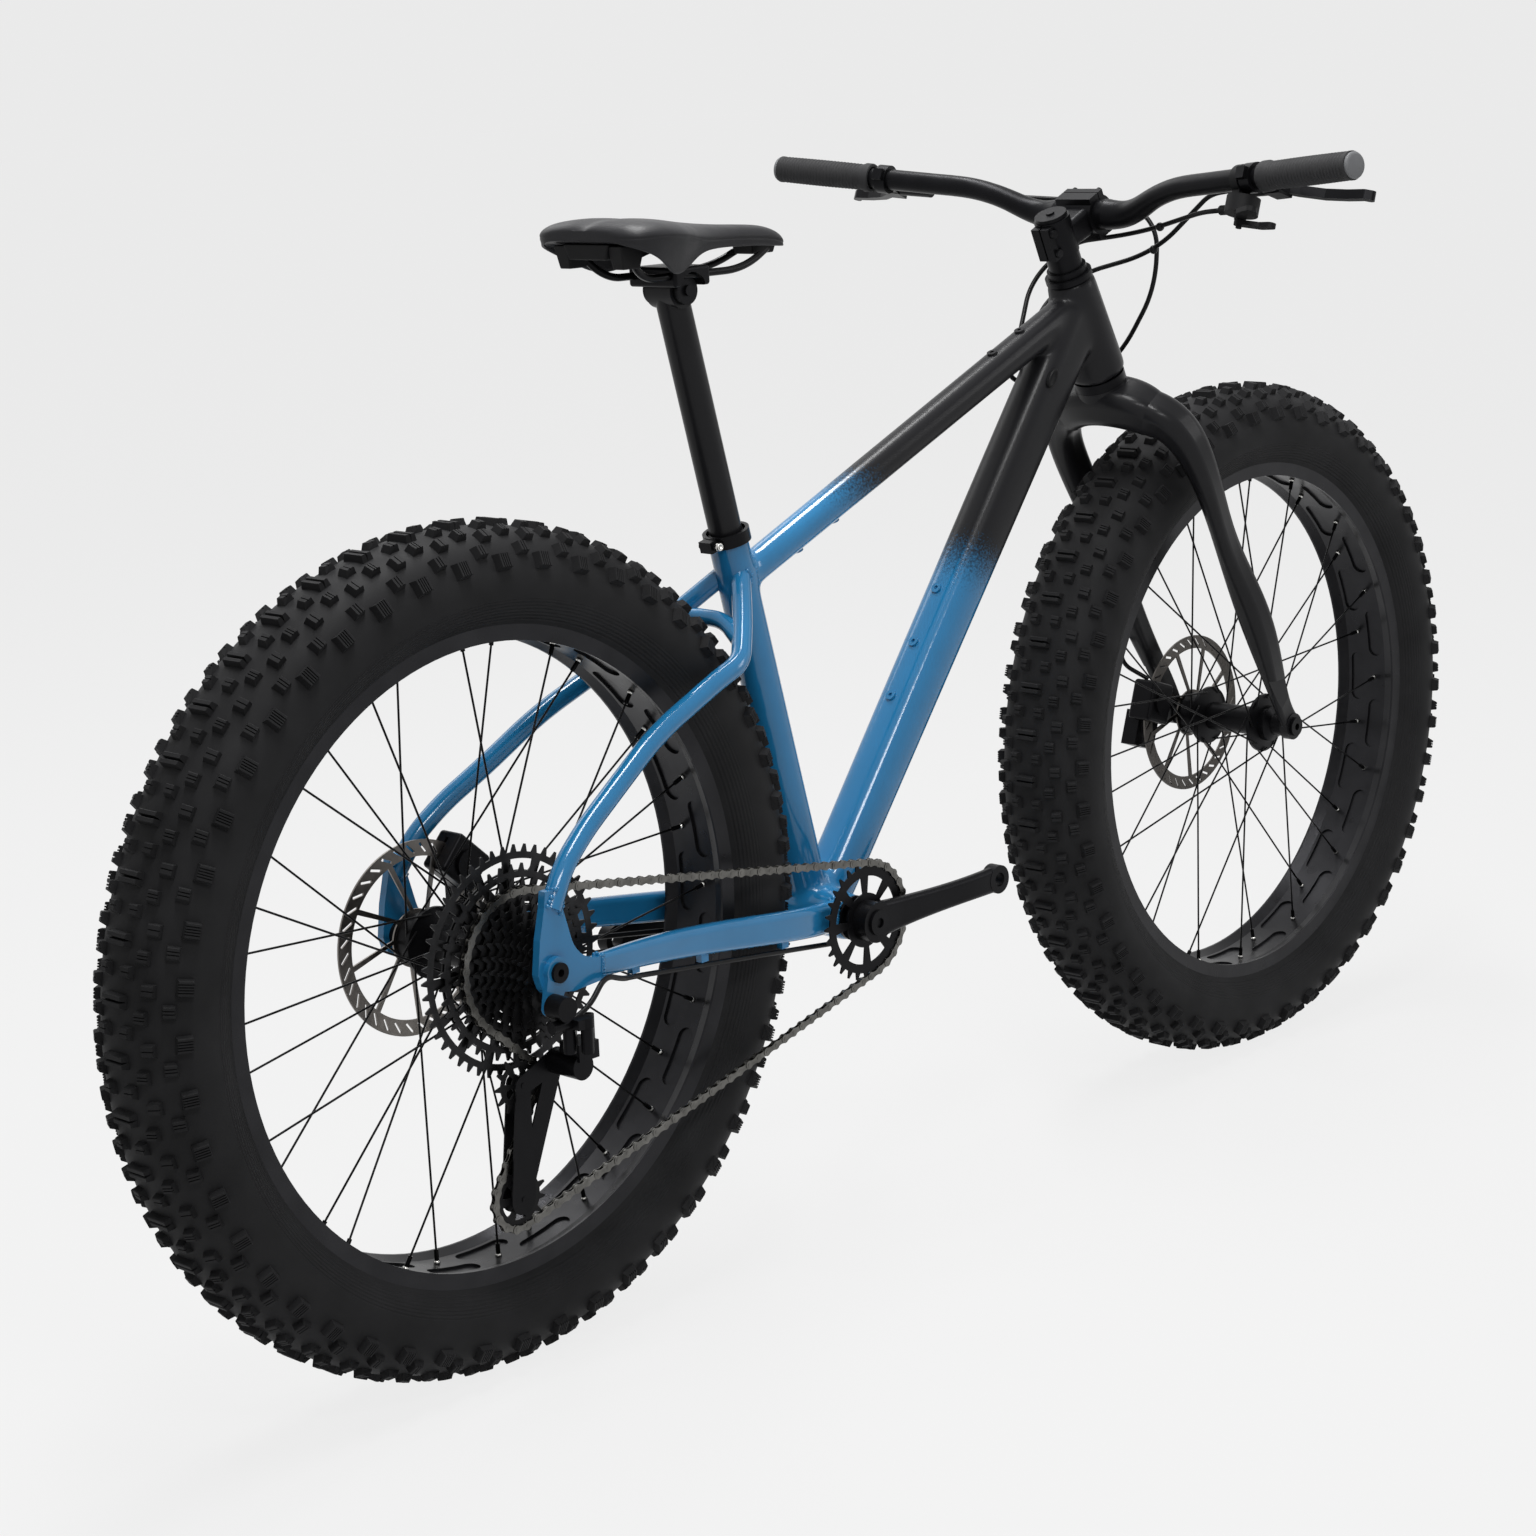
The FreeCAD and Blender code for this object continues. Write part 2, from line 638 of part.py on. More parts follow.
def make_rotor(label, centre, at):
    """Slotted disc on arms, with its bolts."""
    body = new_body(label, centre + V(0, at.value, 0))
    body.setExpression("Placement.Base.y", at.text)
    t = s.rotor_thickness
    disc = new_sketch(body, "XZ_Plane", -t / 2)
    draw_circle(disc, 0, 0, s.rotor_radius)
    draw_circle(disc, 0, 0, s.front_axle_radius + 6.5)
    pad(body, disc, t)
    inner = 27.0
    outer = s.rotor_radius - s.rotor_track

    def at_angle(radius, degrees):
        c = math.cos(math.radians(degrees))
        q = math.sin(math.radians(degrees))
        return radius * c, radius * q

    window = new_sketch(body, "XZ_Plane", -t / 2 - 1)
    draw(window, [
        at_angle(as_size(inner), -20), ("arc", *at_angle(as_size(inner), -4)), at_angle(as_size(inner),
            12),
        at_angle(outer, 27), ("arc", *at_angle(outer, 10)), at_angle(outer, -9),
    ])
    ring_of(body, pocket(body, window, back=True), 9)
    slot = new_sketch(body, "XZ_Plane", -t / 2 - 1)
    middle = s.rotor_radius - s.rotor_track / 2
    draw(slot, [(middle - 5, -3.6), (middle - 3.5, -5.4), (middle + 5, 3.6), (middle + 3.5, 5.4)])
    ring_of(body, pocket(body, slot, back=True), 36)
    bolt = new_sketch(body, "XZ_Plane", -t / 2)
    draw_circle(bolt, 20.5, 0, 3.8)
    ring_of(body, pad(body, bolt, 2.2, back=True), 6)
    node(body)


make_tyre("front_tyre", FRONT)
make_tyre("rear_tyre", REAR)
make_rim("front_rim", FRONT)
make_rim("rear_rim", REAR)
make_spokes("front_spokes", FRONT, n.front_flange_right, n.front_flange_left)
make_spokes("rear_spokes", REAR, n.rear_flange_right, n.rear_flange_left)
make_front_hub("front_hub", FRONT)
make_rear_hub("rear_hub", REAR)
make_rotor("front_rotor", FRONT, s.front_rotor_y)
make_rotor("rear_rotor", REAR, s.rear_rotor_y)

# Through axles
end_thickness = 10.0
front_axle = new_body("front_axle", FRONT)
revolve(front_axle, [
    (4, -(s.front_hub_width / 2 + end_thickness + 4)), (10.5,
    -(s.front_hub_width / 2 + end_thickness + 4)),
    (10.5, -(s.front_hub_width / 2 + end_thickness)),
    (s.front_axle_radius, -(s.front_hub_width / 2 + end_thickness)),
    (s.front_axle_radius, s.front_hub_width / 2 + end_thickness), (4,
    s.front_hub_width / 2 + end_thickness),
])
node(front_axle)
hanger_thickness = 5.5
rear_axle = new_body("rear_axle", REAR)
rear_out = s.rear_hub_width / 2 + s.dropout_thickness
revolve(rear_axle, [
    (3.5, -(rear_out + hanger_thickness + 3)), (9, -(rear_out + hanger_thickness + 3)),
    (9, -(rear_out + hanger_thickness)), (s.rear_axle_radius, -(rear_out + hanger_thickness)),
    (s.rear_axle_radius, rear_out + 1.5), (3.5, rear_out + 1.5),
])
node(rear_axle)

# Frame


def cylinder_between(low, high, radius):
    """Solid stand-in of a tube, used to mitre its neighbours."""
    return rod(low, high, radius)


HEAD_LOW = n.crown_height + 10.0
HEAD_TOP = HEAD_LOW + n.head_tube_length
head_tube = new_body("head_tube", steer(0), STEER_TURN)
revolve(head_tube, [
    (21.0, s.crown_height + 10), (s.head_low_radius, s.crown_height + 10),
    (s.head_low_radius - 1, s.crown_height + 30),
    (s.head_top_radius, s.crown_height + 10 + s.head_tube_length - 30),
    (s.head_top_radius, s.crown_height + 10 + s.head_tube_length),
    (21.0, s.crown_height + 10 + s.head_tube_length),
], role="XZ_Plane")
node(head_tube)
doc.recompute()
HEAD_SOLID = head_tube.Shape.fuse(rod(steer(HEAD_LOW), steer(HEAD_TOP), 22.0)).removeSplitter()

SEAT_TOP = n.seat_tube_length
SEAT_SOLID = rod(seat(-8), seat(SEAT_TOP), n.seat_tube_radius)
SHELL_SOLID = rod(CRANK - V(0, n.shell_half_width, 0), CRANK + V(0, n.shell_half_width, 0),
    n.shell_radius)

shell = new_body("bottom_bracket_shell", CRANK)
revolve(shell, [
    (s.shell_bore, -s.shell_half_width), (s.shell_radius, -s.shell_half_width),
    (s.shell_radius, s.shell_half_width), (s.shell_bore, s.shell_half_width),
])
node(shell)

seat_tube_shape = SEAT_SOLID.cut(rod(seat(-20), seat(SEAT_TOP + 1), n.post_radius + n.running_gap))
seat_tube_shape = seat_tube_shape.cut(SHELL_SOLID)
seat_tube_shape = max(seat_tube_shape.Solids, key=lambda solid: solid.Volume)
node(feature_of("seat_tube", seat_tube_shape))

SIDE = V(0, 1, 0)


def hollow(sections, wall):
    """Tube through rounded sections, with the same wall all round."""
    outer = skin(sections)
    first = sections[0]
    last = sections[-1]
    reach = 2.0
    inner_rows = []
    for k, (centre, along, side, half_side, half_rise, corner) in enumerate(sections):
        shift = V(0, 0, 0)
        if k == 0:
            shift = V(first[1]).normalize() * -reach
        if k == len(sections) - 1:
            shift = V(last[1]).normalize() * reach
        inner_rows.append((centre + shift, along, side, half_side - wall, half_rise - wall,
            corner - wall))
    return outer, outer.cut(skin(inner_rows))


TT_A = seat(n.top_tube_seat)
TT_B = steer(n.top_tube_head)
TT_DIR = TT_B - TT_A
top_outer, top_tube_shape = hollow([
    (TT_A, TT_DIR, SIDE, 15.2, 14.8, 12.5),
    (TT_A + TT_DIR * 0.35, TT_DIR, SIDE, 16.0, 15.2, 12.5),
    (TT_A + TT_DIR * 0.75, TT_DIR, SIDE, 16.8, 15.5, 12.5),
    (TT_B, TT_DIR, SIDE, 17.2, 15.8, 12.5),
], n.tube_wall)


def largest(shape):
    """The main lump of a cut."""
    return max(shape.Solids, key=lambda solid: solid.Volume)


BOSS_BORE = 2.1
bosses = []


def add_boss(tube, outer, base, normal):
    """Threaded boss on a tube: keeps the boss and returns the tube with its hole."""
    normal = V(normal).normalize()
    depth = Part.makeLine(base, base + normal * 60.0).common(outer).Length
    face = base + normal * (depth + 2.5)
    boss = rod(base + normal * (depth - 4.0), face, 5.5).cut(outer)
    boss = boss.cut(rod(base, face + normal, BOSS_BORE))
    bosses.append(largest(boss))
    return tube.cut(rod(base + normal * (depth * 0.5), face, BOSS_BORE))


TT_UP = TT_DIR.cross(Y_AXIS).normalize() * -1.0
if TT_UP.z < 0:
    TT_UP = TT_UP * -1.0
top_tube_shape = largest(top_tube_shape.cut(HEAD_SOLID).cut(SEAT_SOLID))
for share in (0.745, 0.83):
    top_tube_shape = add_boss(top_tube_shape, top_outer, TT_A + TT_DIR * share, TT_UP)
for share in (0.15, 0.25):
    top_tube_shape = add_boss(top_tube_shape, top_outer, TT_A + TT_DIR * share, TT_UP * -1.0)
top_tube_shape = largest(top_tube_shape)
node(feature_of("top_tube", top_tube_shape))
TOP_SOLID = top_outer

DT_A = CRANK + V(4.8, 0, -16.0)
DT_C = steer(n.down_tube_head)
DT_UP = (DT_C - DT_A).cross(Y_AXIS).normalize()
if DT_UP.z < 0:
    DT_UP = DT_UP * -1.0
DT_DIR = DT_C - DT_A
DT_B = DT_A + DT_DIR * 0.635
down_outer, down_tube_shape = hollow([
    (DT_A, DT_DIR, SIDE, 23.6, 22.4, 18.5),
    (DT_A + DT_DIR * 0.3, DT_DIR, SIDE, 24.0, 22.6, 18.5),
    (DT_A + DT_DIR * 0.6, DT_DIR, SIDE, 24.0, 22.8, 18.5),
    (DT_A + DT_DIR * 0.82, DT_DIR, SIDE, 24.0, 23.2, 18.5),
    (DT_A + DT_DIR * 0.91 - DT_UP * 3.0, DT_DIR, SIDE, 23.4, 26.5, 18.5),
    (DT_C - DT_UP * 13.0, DT_DIR, SIDE, 22.0, 36.0, 18.5),
], n.tube_wall)
down_tube_shape = down_tube_shape.cut(HEAD_SOLID).cut(TOP_SOLID).cut(SHELL_SOLID).cut(SEAT_SOLID)
down_tube_shape = largest(down_tube_shape)
for share in (0.335, 0.42, 0.505):
    spot = DT_A + (DT_B - DT_A) * (share / 0.635)
    normal = (DT_B - DT_A).cross(Y_AXIS)
    normal = normal if normal.z > 0 else normal * -1.0
    down_tube_shape = add_boss(down_tube_shape, down_outer, spot, normal)
down_tube_shape = largest(down_tube_shape)
node(feature_of("down_tube", down_tube_shape))

# Rear ends and hanger, drawn about the axle
ends = []
END_OUTLINE = [
    (58, 1), (58, -21), (22, -23), (6, -20), ("arc", -6, -20), (-15, -13), (-19, 0), (-15, 30), (-8, 58),
    (-6, 72), (13, 72), (14, 52), (22, 24), ("arc", 32, 9),
]
for label, offset in (("rear_end_right", s.rear_hub_width / 2),
                      ("rear_end_left", -(s.rear_hub_width / 2 + s.dropout_thickness))):
    end = new_body(label, REAR)
    sketch = new_sketch(end, "XZ_Plane", offset)
    draw(sketch, END_OUTLINE)
    draw_circle(sketch, 0, 0, s.rear_axle_radius)
    pad(end, sketch, s.dropout_thickness)
    ends.append(end)
hanger = new_body("hanger", REAR)
sketch = new_sketch(hanger, "XZ_Plane", rear_out)
draw(sketch, [(13, -4), ("arc", 0, 14), (-13, -2), (-18, -30), ("arc", -9, -38), (0, -30)])
draw_circle(sketch, 0, 0, s.rear_axle_radius)
draw_circle(sketch, -9, -28, 5.0)
pad(hanger, sketch, hanger_thickness)
ends.append(hanger)
group("dropouts", ends)
doc.recompute()
END_RIGHT = ends[0].Shape

TYRE_SIDE = n.tyre_half_width + n.stay_clear
HALF_REAR = n.rear_hub_width / 2


def rear_run(share, rise, y):
    """Point part of the way from the crank axle to the rear axle, on the right side."""
    return CRANK + (REAR - CRANK) * share + V(0, -y, rise)


cs = [
    rear_run(0.02, 2.0, 46.0), rear_run(0.145, 2.0, TYRE_SIDE - 2.0), rear_run(0.43, 3.0,
        TYRE_SIDE + 10.0),
    rear_run(0.66, 2.5, TYRE_SIDE + 20.5), rear_run(0.875, -1.0, HALF_REAR + 4.0),
]
cs_rows = []
for k, point in enumerate(cs):
    along = cs[min(k + 1, 4)] - cs[max(k - 1, 0)]
    half_side = (7.5, 7.5, 8.0, 8.0, 5.0)[k]
    half_rise = (16.0, 15.5, 14.5, 13.0, 11.0)[k]
    cs_rows.append((point, along, SIDE, half_side, half_rise, 7.0 if k < 4 else 4.5))
stay = skin(cs_rows).cut(SHELL_SOLID).cut(END_RIGHT)
stay = largest(stay)
node(feature_of("chainstays", Part.Compound([stay, mirrored(stay)])))

SS_TOP = seat(n.top_tube_seat + 4.0)


def stay_run(share, rise, y):
    """Point part of the way from the seat joint to the rear axle, on the right side."""
    return SS_TOP + (REAR - SS_TOP) * share + V(0, -y, rise)


ss = [
    SS_TOP + V(-2, -8, 6), stay_run(0.11, -2.0, 44.0), stay_run(0.20, -7.0, TYRE_SIDE + 5.0),
    stay_run(0.285, 8.0, TYRE_SIDE + 7.0), stay_run(0.54, 45.0, TYRE_SIDE + 13.0),
    stay_run(0.705, 56.0, TYRE_SIDE + 20.0), stay_run(0.845, 67.0, TYRE_SIDE + 28.0),
    stay_run(0.935, 67.0, HALF_REAR - 0.5), REAR + V(3, -(HALF_REAR + 4.0), 54),
]
stay = cord(ss, n.stay_radius)
bridge_low = (ss[1] + ss[2]) * 0.5
bridge = cord([
    V(bridge_low.x, bridge_low.y + 2, bridge_low.z), V(bridge_low.x + 12, -24, bridge_low.z + 16),
    V(bridge_low.x + 12, 24, bridge_low.z + 16), V(bridge_low.x, -bridge_low.y - 2, bridge_low.z),
], 8.0)
bridge = largest(bridge.cut(stay).cut(mirrored(stay)))
stay = largest(stay.cut(SEAT_SOLID).cut(END_RIGHT).cut(TOP_SOLID))
node(feature_of("seatstays", Part.Compound([stay, mirrored(stay), bridge])))

# Seat clamp round the slotted top of the seat tube
collar = sleeve(seat(SEAT_TOP - 12), seat(SEAT_TOP), n.seat_tube_radius + 3.5, n.seat_tube_radius)
lug = Part.makeBox(13, 15, 11, V(-6.5, -7.5, -5.5))
lug.Placement = Placement(seat(SEAT_TOP - 6.0, -(n.seat_tube_radius + 5)), SEAT_TURN)
lug = lug.cut(rod(seat(SEAT_TOP - 20), seat(SEAT_TOP + 5), n.seat_tube_radius + 0.5))
bolt_fore = -(n.seat_tube_radius + 7.0)
clamp_bolt = rod(seat(SEAT_TOP - 6.0, bolt_fore, -12), seat(SEAT_TOP - 6.0, bolt_fore, 10), 3.0)
collar = collar.fuse([lug, clamp_bolt]).removeSplitter()
node(feature_of("seat_clamp", collar))

# Headset and crank bearings held by the frame
gap = n.running_gap
LOW_STEERER = 18.6
lower_cup = sleeve(steer(n.crown_height), steer(HEAD_LOW), 28.0, LOW_STEERER + gap)
lower_cup = lower_cup.fuse(sleeve(steer(HEAD_LOW), steer(HEAD_LOW + 12), 21.0,
    LOW_STEERER + gap)).removeSplitter()
upper_cup = sleeve(steer(HEAD_TOP), steer(HEAD_TOP + 6), n.head_top_radius, n.steerer_radius + gap)
upper_cup = upper_cup.fuse(sleeve(steer(HEAD_TOP - 10), steer(HEAD_TOP), 21.0, n.steerer_radius + gap))
cups = [lower_cup, upper_cup.removeSplitter()]
for side in (-1, 1):
    face = CRANK + V(0, side * n.shell_half_width, 0)
    inner = sleeve(face - V(0, side * 12, 0), face, n.shell_bore, n.spindle_radius + gap)
    flange = sleeve(face, face + V(0, side * 3, 0), n.shell_radius - 1, n.spindle_radius + gap)
    cups.append(inner.fuse(flange).removeSplitter())
node(feature_of("frame_bearings", Part.Compound([cup.Solids[0] for cup in cups])))

# Fork: steerer and crown, then the blades from the crown's shoulders down to the axle
STEM_LOW = HEAD_TOP + n.spacer_stack
STEM_TOP = STEM_LOW + n.stem_height
CROWN_TOP = n.crown_height - n.face_gap
steerer = new_body("steerer", steer(0), STEER_TURN)
top_end = s.crown_height + 10 + s.head_tube_length + s.spacer_stack + s.stem_height - 3
revolve(steerer, [
    (11.5, s.crown_height - 20), (LOW_STEERER, s.crown_height - 20), (LOW_STEERER, s.crown_height + 26),
    (s.steerer_radius, s.crown_height + 60), (s.steerer_radius, top_end), (11.5, top_end),
], role="XZ_Plane")
doc.recompute()
shoulder_fore = 5.0
shoulder_y = n.blade_half_spacing - 33.0
SHOULDER = steer(n.crown_height - 38.0, shoulder_fore, -shoulder_y)
SHOULDER_ALONG = V(0, -1, 0) - STEER_UP * 0.45 + STEER_FORE * 0.12
crown_rows = []
for row in ((SHOULDER, SHOULDER_ALONG, STEER_FORE, 23.0, 21.0, 15.0),
            (steer(n.crown_height - 25.0, 1.0, -27.0), V(0, -1, 0) - STEER_UP * 0.3, STEER_FORE, 27.0,
            22.0, 15.0)):
    crown_rows.append(row)
crown_rows.append((steer(n.crown_height - 21.5, 0.0), V(0, -1, 0), STEER_FORE, 28.5, 21.0, 14.0))


def other_side(row):
    """A section of the left side from its twin on the right."""
    centre, along, side, half_side, half_rise, corner = row
    return (V(centre.x, -centre.y, centre.z), V(-along.x, along.y, -along.z), side, half_side,
        half_rise, corner)


crown = skin(crown_rows + [other_side(row) for row in reversed(crown_rows[:-1])])
cap_cut = Part.makeBox(200, 200, 60, V(-100, -100, 0))
cap_cut.Placement = Placement(steer(CROWN_TOP), STEER_TURN)
crown = crown.fuse(rod(steer(n.crown_height - 30), steer(CROWN_TOP), 28.0)).cut(cap_cut)
crown = crown.cut(rod(steer(n.crown_height - 80), steer(n.crown_height + 5), 11.5))
crown = crown.fuse(steerer.Shape).removeSplitter()
node(feature_of("fork_crown", largest(crown)))

blade_y = n.blade_half_spacing
blade_end_y = n.front_hub_width / 2 + end_thickness / 2
half_fork = n.crown_height - 38.0


def blade_row(height, fore, y, along, half_fore, half_y, corner):
    """Section of the right blade, given in the steering frame."""
    return (steer(height, fore, -y), along, STEER_FORE, half_fore, half_y, corner)


DOWN = STEER_UP * -1.0
slope = STEER_FORE * ((n.fork_offset - 13.0) / (n.crown_height - 80.0)) + DOWN
blade_rows = [
    (SHOULDER, SHOULDER_ALONG, STEER_FORE, 23.0, 21.0, 15.0),
    blade_row(half_fork - 18.0, 9.0, blade_y - 10.0, V(0, -0.75, 0) + DOWN, 21.0, 18.5, 14.0),
    blade_row(half_fork - 48.0, 13.5, blade_y, V(0, -0.08, 0) + slope, 19.5, 15.5, 13.0),
    blade_row(half_fork * 0.49, 30.0, blade_y, slope, 16.5, 12.5, 10.5),
    blade_row(60.0, n.fork_offset - 6.0, blade_end_y + 1.0, slope, 13.5, 7.5, 6.5),
    blade_row(6.0, n.fork_offset, blade_end_y, slope, 13.0, 5.0, 4.0),
]
blade = skin(blade_rows)
boss = rod(FRONT + V(0, -n.front_hub_width / 2, 0), FRONT + V(0, -n.front_hub_width / 2 - end_thickness,
    0), 15.0)
inside = Part.makeBox(120, 60, 120, V(-60, 0, -60))
inside.translate(FRONT + V(0, -n.front_hub_width / 2, 0))
outside = Part.makeBox(120, 60, 120, V(-60, -60, -60))
outside.translate(FRONT + V(0, -n.front_hub_width / 2 - end_thickness, 0))
axle_hole = rod(FRONT - V(0, 120, 0), FRONT + V(0, 120, 0), n.front_axle_radius)
blade = blade.fuse(boss).cut(inside).cut(outside).cut(axle_hole)
blade = largest(blade.removeSplitter())
node(feature_of("fork_blades", Part.Compound([blade, mirrored(blade)])))

# Spacers, top cap and its bolt
pile = []
edge = HEAD_TOP + 6.0 + n.face_gap
for thickness, radius in ((7.0, 21.0), (8.0, 18.0), (n.spacer_stack - 21.0 - n.face_gap, 18.0)):
    pile.append(sleeve(steer(edge), steer(edge + thickness), radius, n.steerer_radius))
    edge += thickness
cap = rod(steer(STEM_TOP), steer(STEM_TOP + 4.5), 17.0)
cap_bolt = rod(steer(STEM_TOP + 4.5), steer(STEM_TOP + 6.5), 4.5)
pile.append(cap.fuse(cap_bolt).removeSplitter())
node(feature_of("headset_spacers", Part.Compound([ring.Solids[0] for ring in pile])))

# Stem: steerer clamp, neck, bar clamp with its faceplate, and six bolts
BAR_HEIGHT = STEM_LOW + n.stem_height / 2 - 2.3
BAR = steer(BAR_HEIGHT, n.stem_length)
bar_half = 22.5
post_clamp = rod(steer(STEM_LOW), steer(STEM_TOP), 19.0)
split = Part.makeBox(16, 22, n.stem_height - 4, V(-24, -11, 2))
split.Placement = Placement(steer(STEM_LOW), STEER_TURN)
neck = skin([
    (steer(BAR_HEIGHT - 1.0, 6.0), STEER_FORE, SIDE, 17.0, 13.6, 6.0),
    (steer(BAR_HEIGHT, n.stem_length), STEER_FORE, SIDE, 21.0, 16.0, 6.0),
], ruled=True)
bar_block = rod(BAR - V(0, bar_half, 0), BAR + V(0, bar_half, 0), n.bar_radius + 4.5)
jaws = []
for rise in (-1, 1):
    jaw = Part.makeBox(24, 2 * bar_half, 8, V(-12, -bar_half, -4))
    jaw.Placement = Placement(steer(BAR_HEIGHT + rise * (n.bar_radius + 3.4), n.stem_length), STEER_TURN)
    jaws.append(jaw)
stem_solid = post_clamp.fuse([split, neck, bar_block] + jaws)
stem_solid = stem_solid.cut(rod(steer(STEM_LOW - 2), steer(STEM_TOP + 2), n.steerer_radius))
stem_solid = stem_solid.cut(rod(BAR - V(0, 40, 0), BAR + V(0, 40, 0), n.bar_radius))
slit = Part.makeBox(30, 2.0, n.stem_height + 20, V(-36, -1.0, -10))
slit.Placement = Placement(steer(STEM_LOW), STEER_TURN)
front_cut = Part.makeBox(80, 120, 120, V(0.0, -60, -60))
front_cut.Placement = Placement(steer(BAR_HEIGHT, n.stem_length + 3.0), STEER_TURN)
rear_cut = Part.makeBox(120, 120, 160, V(-120, -60, -80))
rear_cut.Placement = Placement(steer(BAR_HEIGHT, n.stem_length + 4.2), STEER_TURN)
faceplate = largest(stem_solid.cut(rear_cut).removeSplitter())
stem_back = largest(stem_solid.cut(front_cut).cut(slit).removeSplitter())
window = Part.makeBox(60, 26, 20, V(0, -13, -10))
window.Placement = Placement(steer(BAR_HEIGHT, n.stem_length + 4.0), STEER_TURN)
faceplate = largest(faceplate.cut(window))
stem_solids = [stem_back, faceplate]
for rise in (-1, 1):
    for y in (-15.5, 15.5):
        head = steer(BAR_HEIGHT + rise * (n.bar_radius + 3.4), n.stem_length + 12.0, y)
        stem_solids.append(rod(head, head + STEER_FORE * 4.0, 3.6))
for height in (9.0, n.stem_height - 9.0):
    head = steer(STEM_LOW + height, -19.0, -11.0)
    stem_solids.append(rod(head, head - V(0, 4.0, 0), 4.2))
node(feature_of("stem", Part.Compound(stem_solids)))

# Handlebar: clamp length, bent flanks and straight ends
BEND_FORE = -4.7
BEND_Y = 120.0
BEND_RISE = 32.0
R_BEND = steer(BAR_HEIGHT + BEND_RISE, n.stem_length + BEND_FORE, -BEND_Y)
R_END = steer(BAR_HEIGHT + n.bar_rise, n.stem_length - n.bar_back, -n.bar_half_width)
U = (R_END - R_BEND).normalize()
FORE_DOWN = V(math.cos(math.radians(21)), 0, -math.sin(math.radians(21)))
F = (FORE_DOWN - U * FORE_DOWN.dot(U)).normalize()
W = U.cross(F)
U_END = (R_END - R_BEND).Length


def at_grip(u, f=0.0, w=0.0):
    """Point beside the right end of the bar: outward, forward and up."""
    return R_BEND + U * u + F * f + W * w


CLAMP_END = BAR - V(0, 32.0, 0)
END_START = 78.0
flank = run_of([CLAMP_END, steer(BAR_HEIGHT, n.stem_length, -60.0), R_BEND, at_grip(END_START)],
    share=0.49)


def bar_skin(radius_in, radius_out):
    """Right half of the bar between the clamp and the straight end."""
    spots = flank.discretize(Number=9)
    wires = []
    for k, spot in enumerate(spots):
        along = spots[min(k + 1, 8)] - spots[max(k - 1, 0)]
        if k == 0:
            along = V(0, -1, 0)
        if k == 8:
            along = U
        share = min(1.0, k / 4.0)
        blend = share * (2 - share)
        radius = radius_in + (radius_out - radius_in) * blend
        wires.append(Part.Wire([Part.makeCircle(radius, spot, along)]))
    return Part.makeLoft(wires, True, False)


def bar_solid(radius_in, radius_out, reach):
    """Whole bar at a pair of radii, run past its ends by a reach."""
    right = bar_skin(radius_in, radius_out)
    tip = rod(at_grip(END_START), R_END + U * reach, radius_out)
    middle = rod(BAR - V(0, 32.0, 0), BAR + V(0, 32.0, 0), radius_in)
    return middle.fuse([right, mirrored(right), tip, mirrored(tip)])


bar = bar_solid(n.bar_radius, n.bar_end_radius, 0.0).cut(bar_solid(n.bar_radius - 2.4,
    n.bar_end_radius - 2.0, 2.0))
node(feature_of("handlebar", largest(bar)))

grip_start = U_END - n.grip_length + 3.0
grip = rod(at_grip(grip_start), at_grip(U_END + 3.0), n.grip_radius)
grip = grip.fuse(rod(at_grip(grip_start), at_grip(grip_start + 10.0), n.grip_radius + 1.0))
grip = grip.cut(rod(at_grip(grip_start - 5.0), at_grip(U_END), n.bar_end_radius)).removeSplitter()
grip = largest(grip)
node(feature_of("grips", Part.Compound([grip, mirrored(grip)])))

# Brake master cylinders, lever blades and their pins
PIVOT_U = grip_start - 8.0
PIVOT_F = 37.0
PIN = 2.5
bar_rod = rod(at_grip(0), at_grip(U_END), n.bar_end_radius)


def grip_box(u0, u1, f0, f1, w0, w1):
    """Block aligned with the right end of the bar."""
    box = Part.makeBox(u1 - u0, f1 - f0, w1 - w0, V(u0, f0, w0))
    box.Placement = Placement(R_BEND, Rotation(U, F, W, "XYZ"))
    return box


def strip(points, half_width, low, high):
    """Flat blade along points of the outward and forward directions, between two heights."""
    shapes = []
    for (u, f) in points:
        shapes.append(rod(at_grip(u, f, low), at_grip(u, f, high), half_width))
    for (ua, fa), (ub, fb) in zip(points, points[1:]):
        run = math.hypot(ub - ua, fb - fa)
        box = Part.makeBox(run, 2 * half_width, high - low, V(0, -half_width, low))
        lean = math.degrees(math.atan2(fb - fa, ub - ua))
        box.rotate(ORIGIN, Z_AXIS, lean)
        box.translate(V(ua, fa, 0))
        box.Placement = Placement(R_BEND, Rotation(U, F, W, "XYZ")).multiply(box.Placement)
        shapes.append(box)
    return shapes[0].fuse(shapes[1:]).removeSplitter()


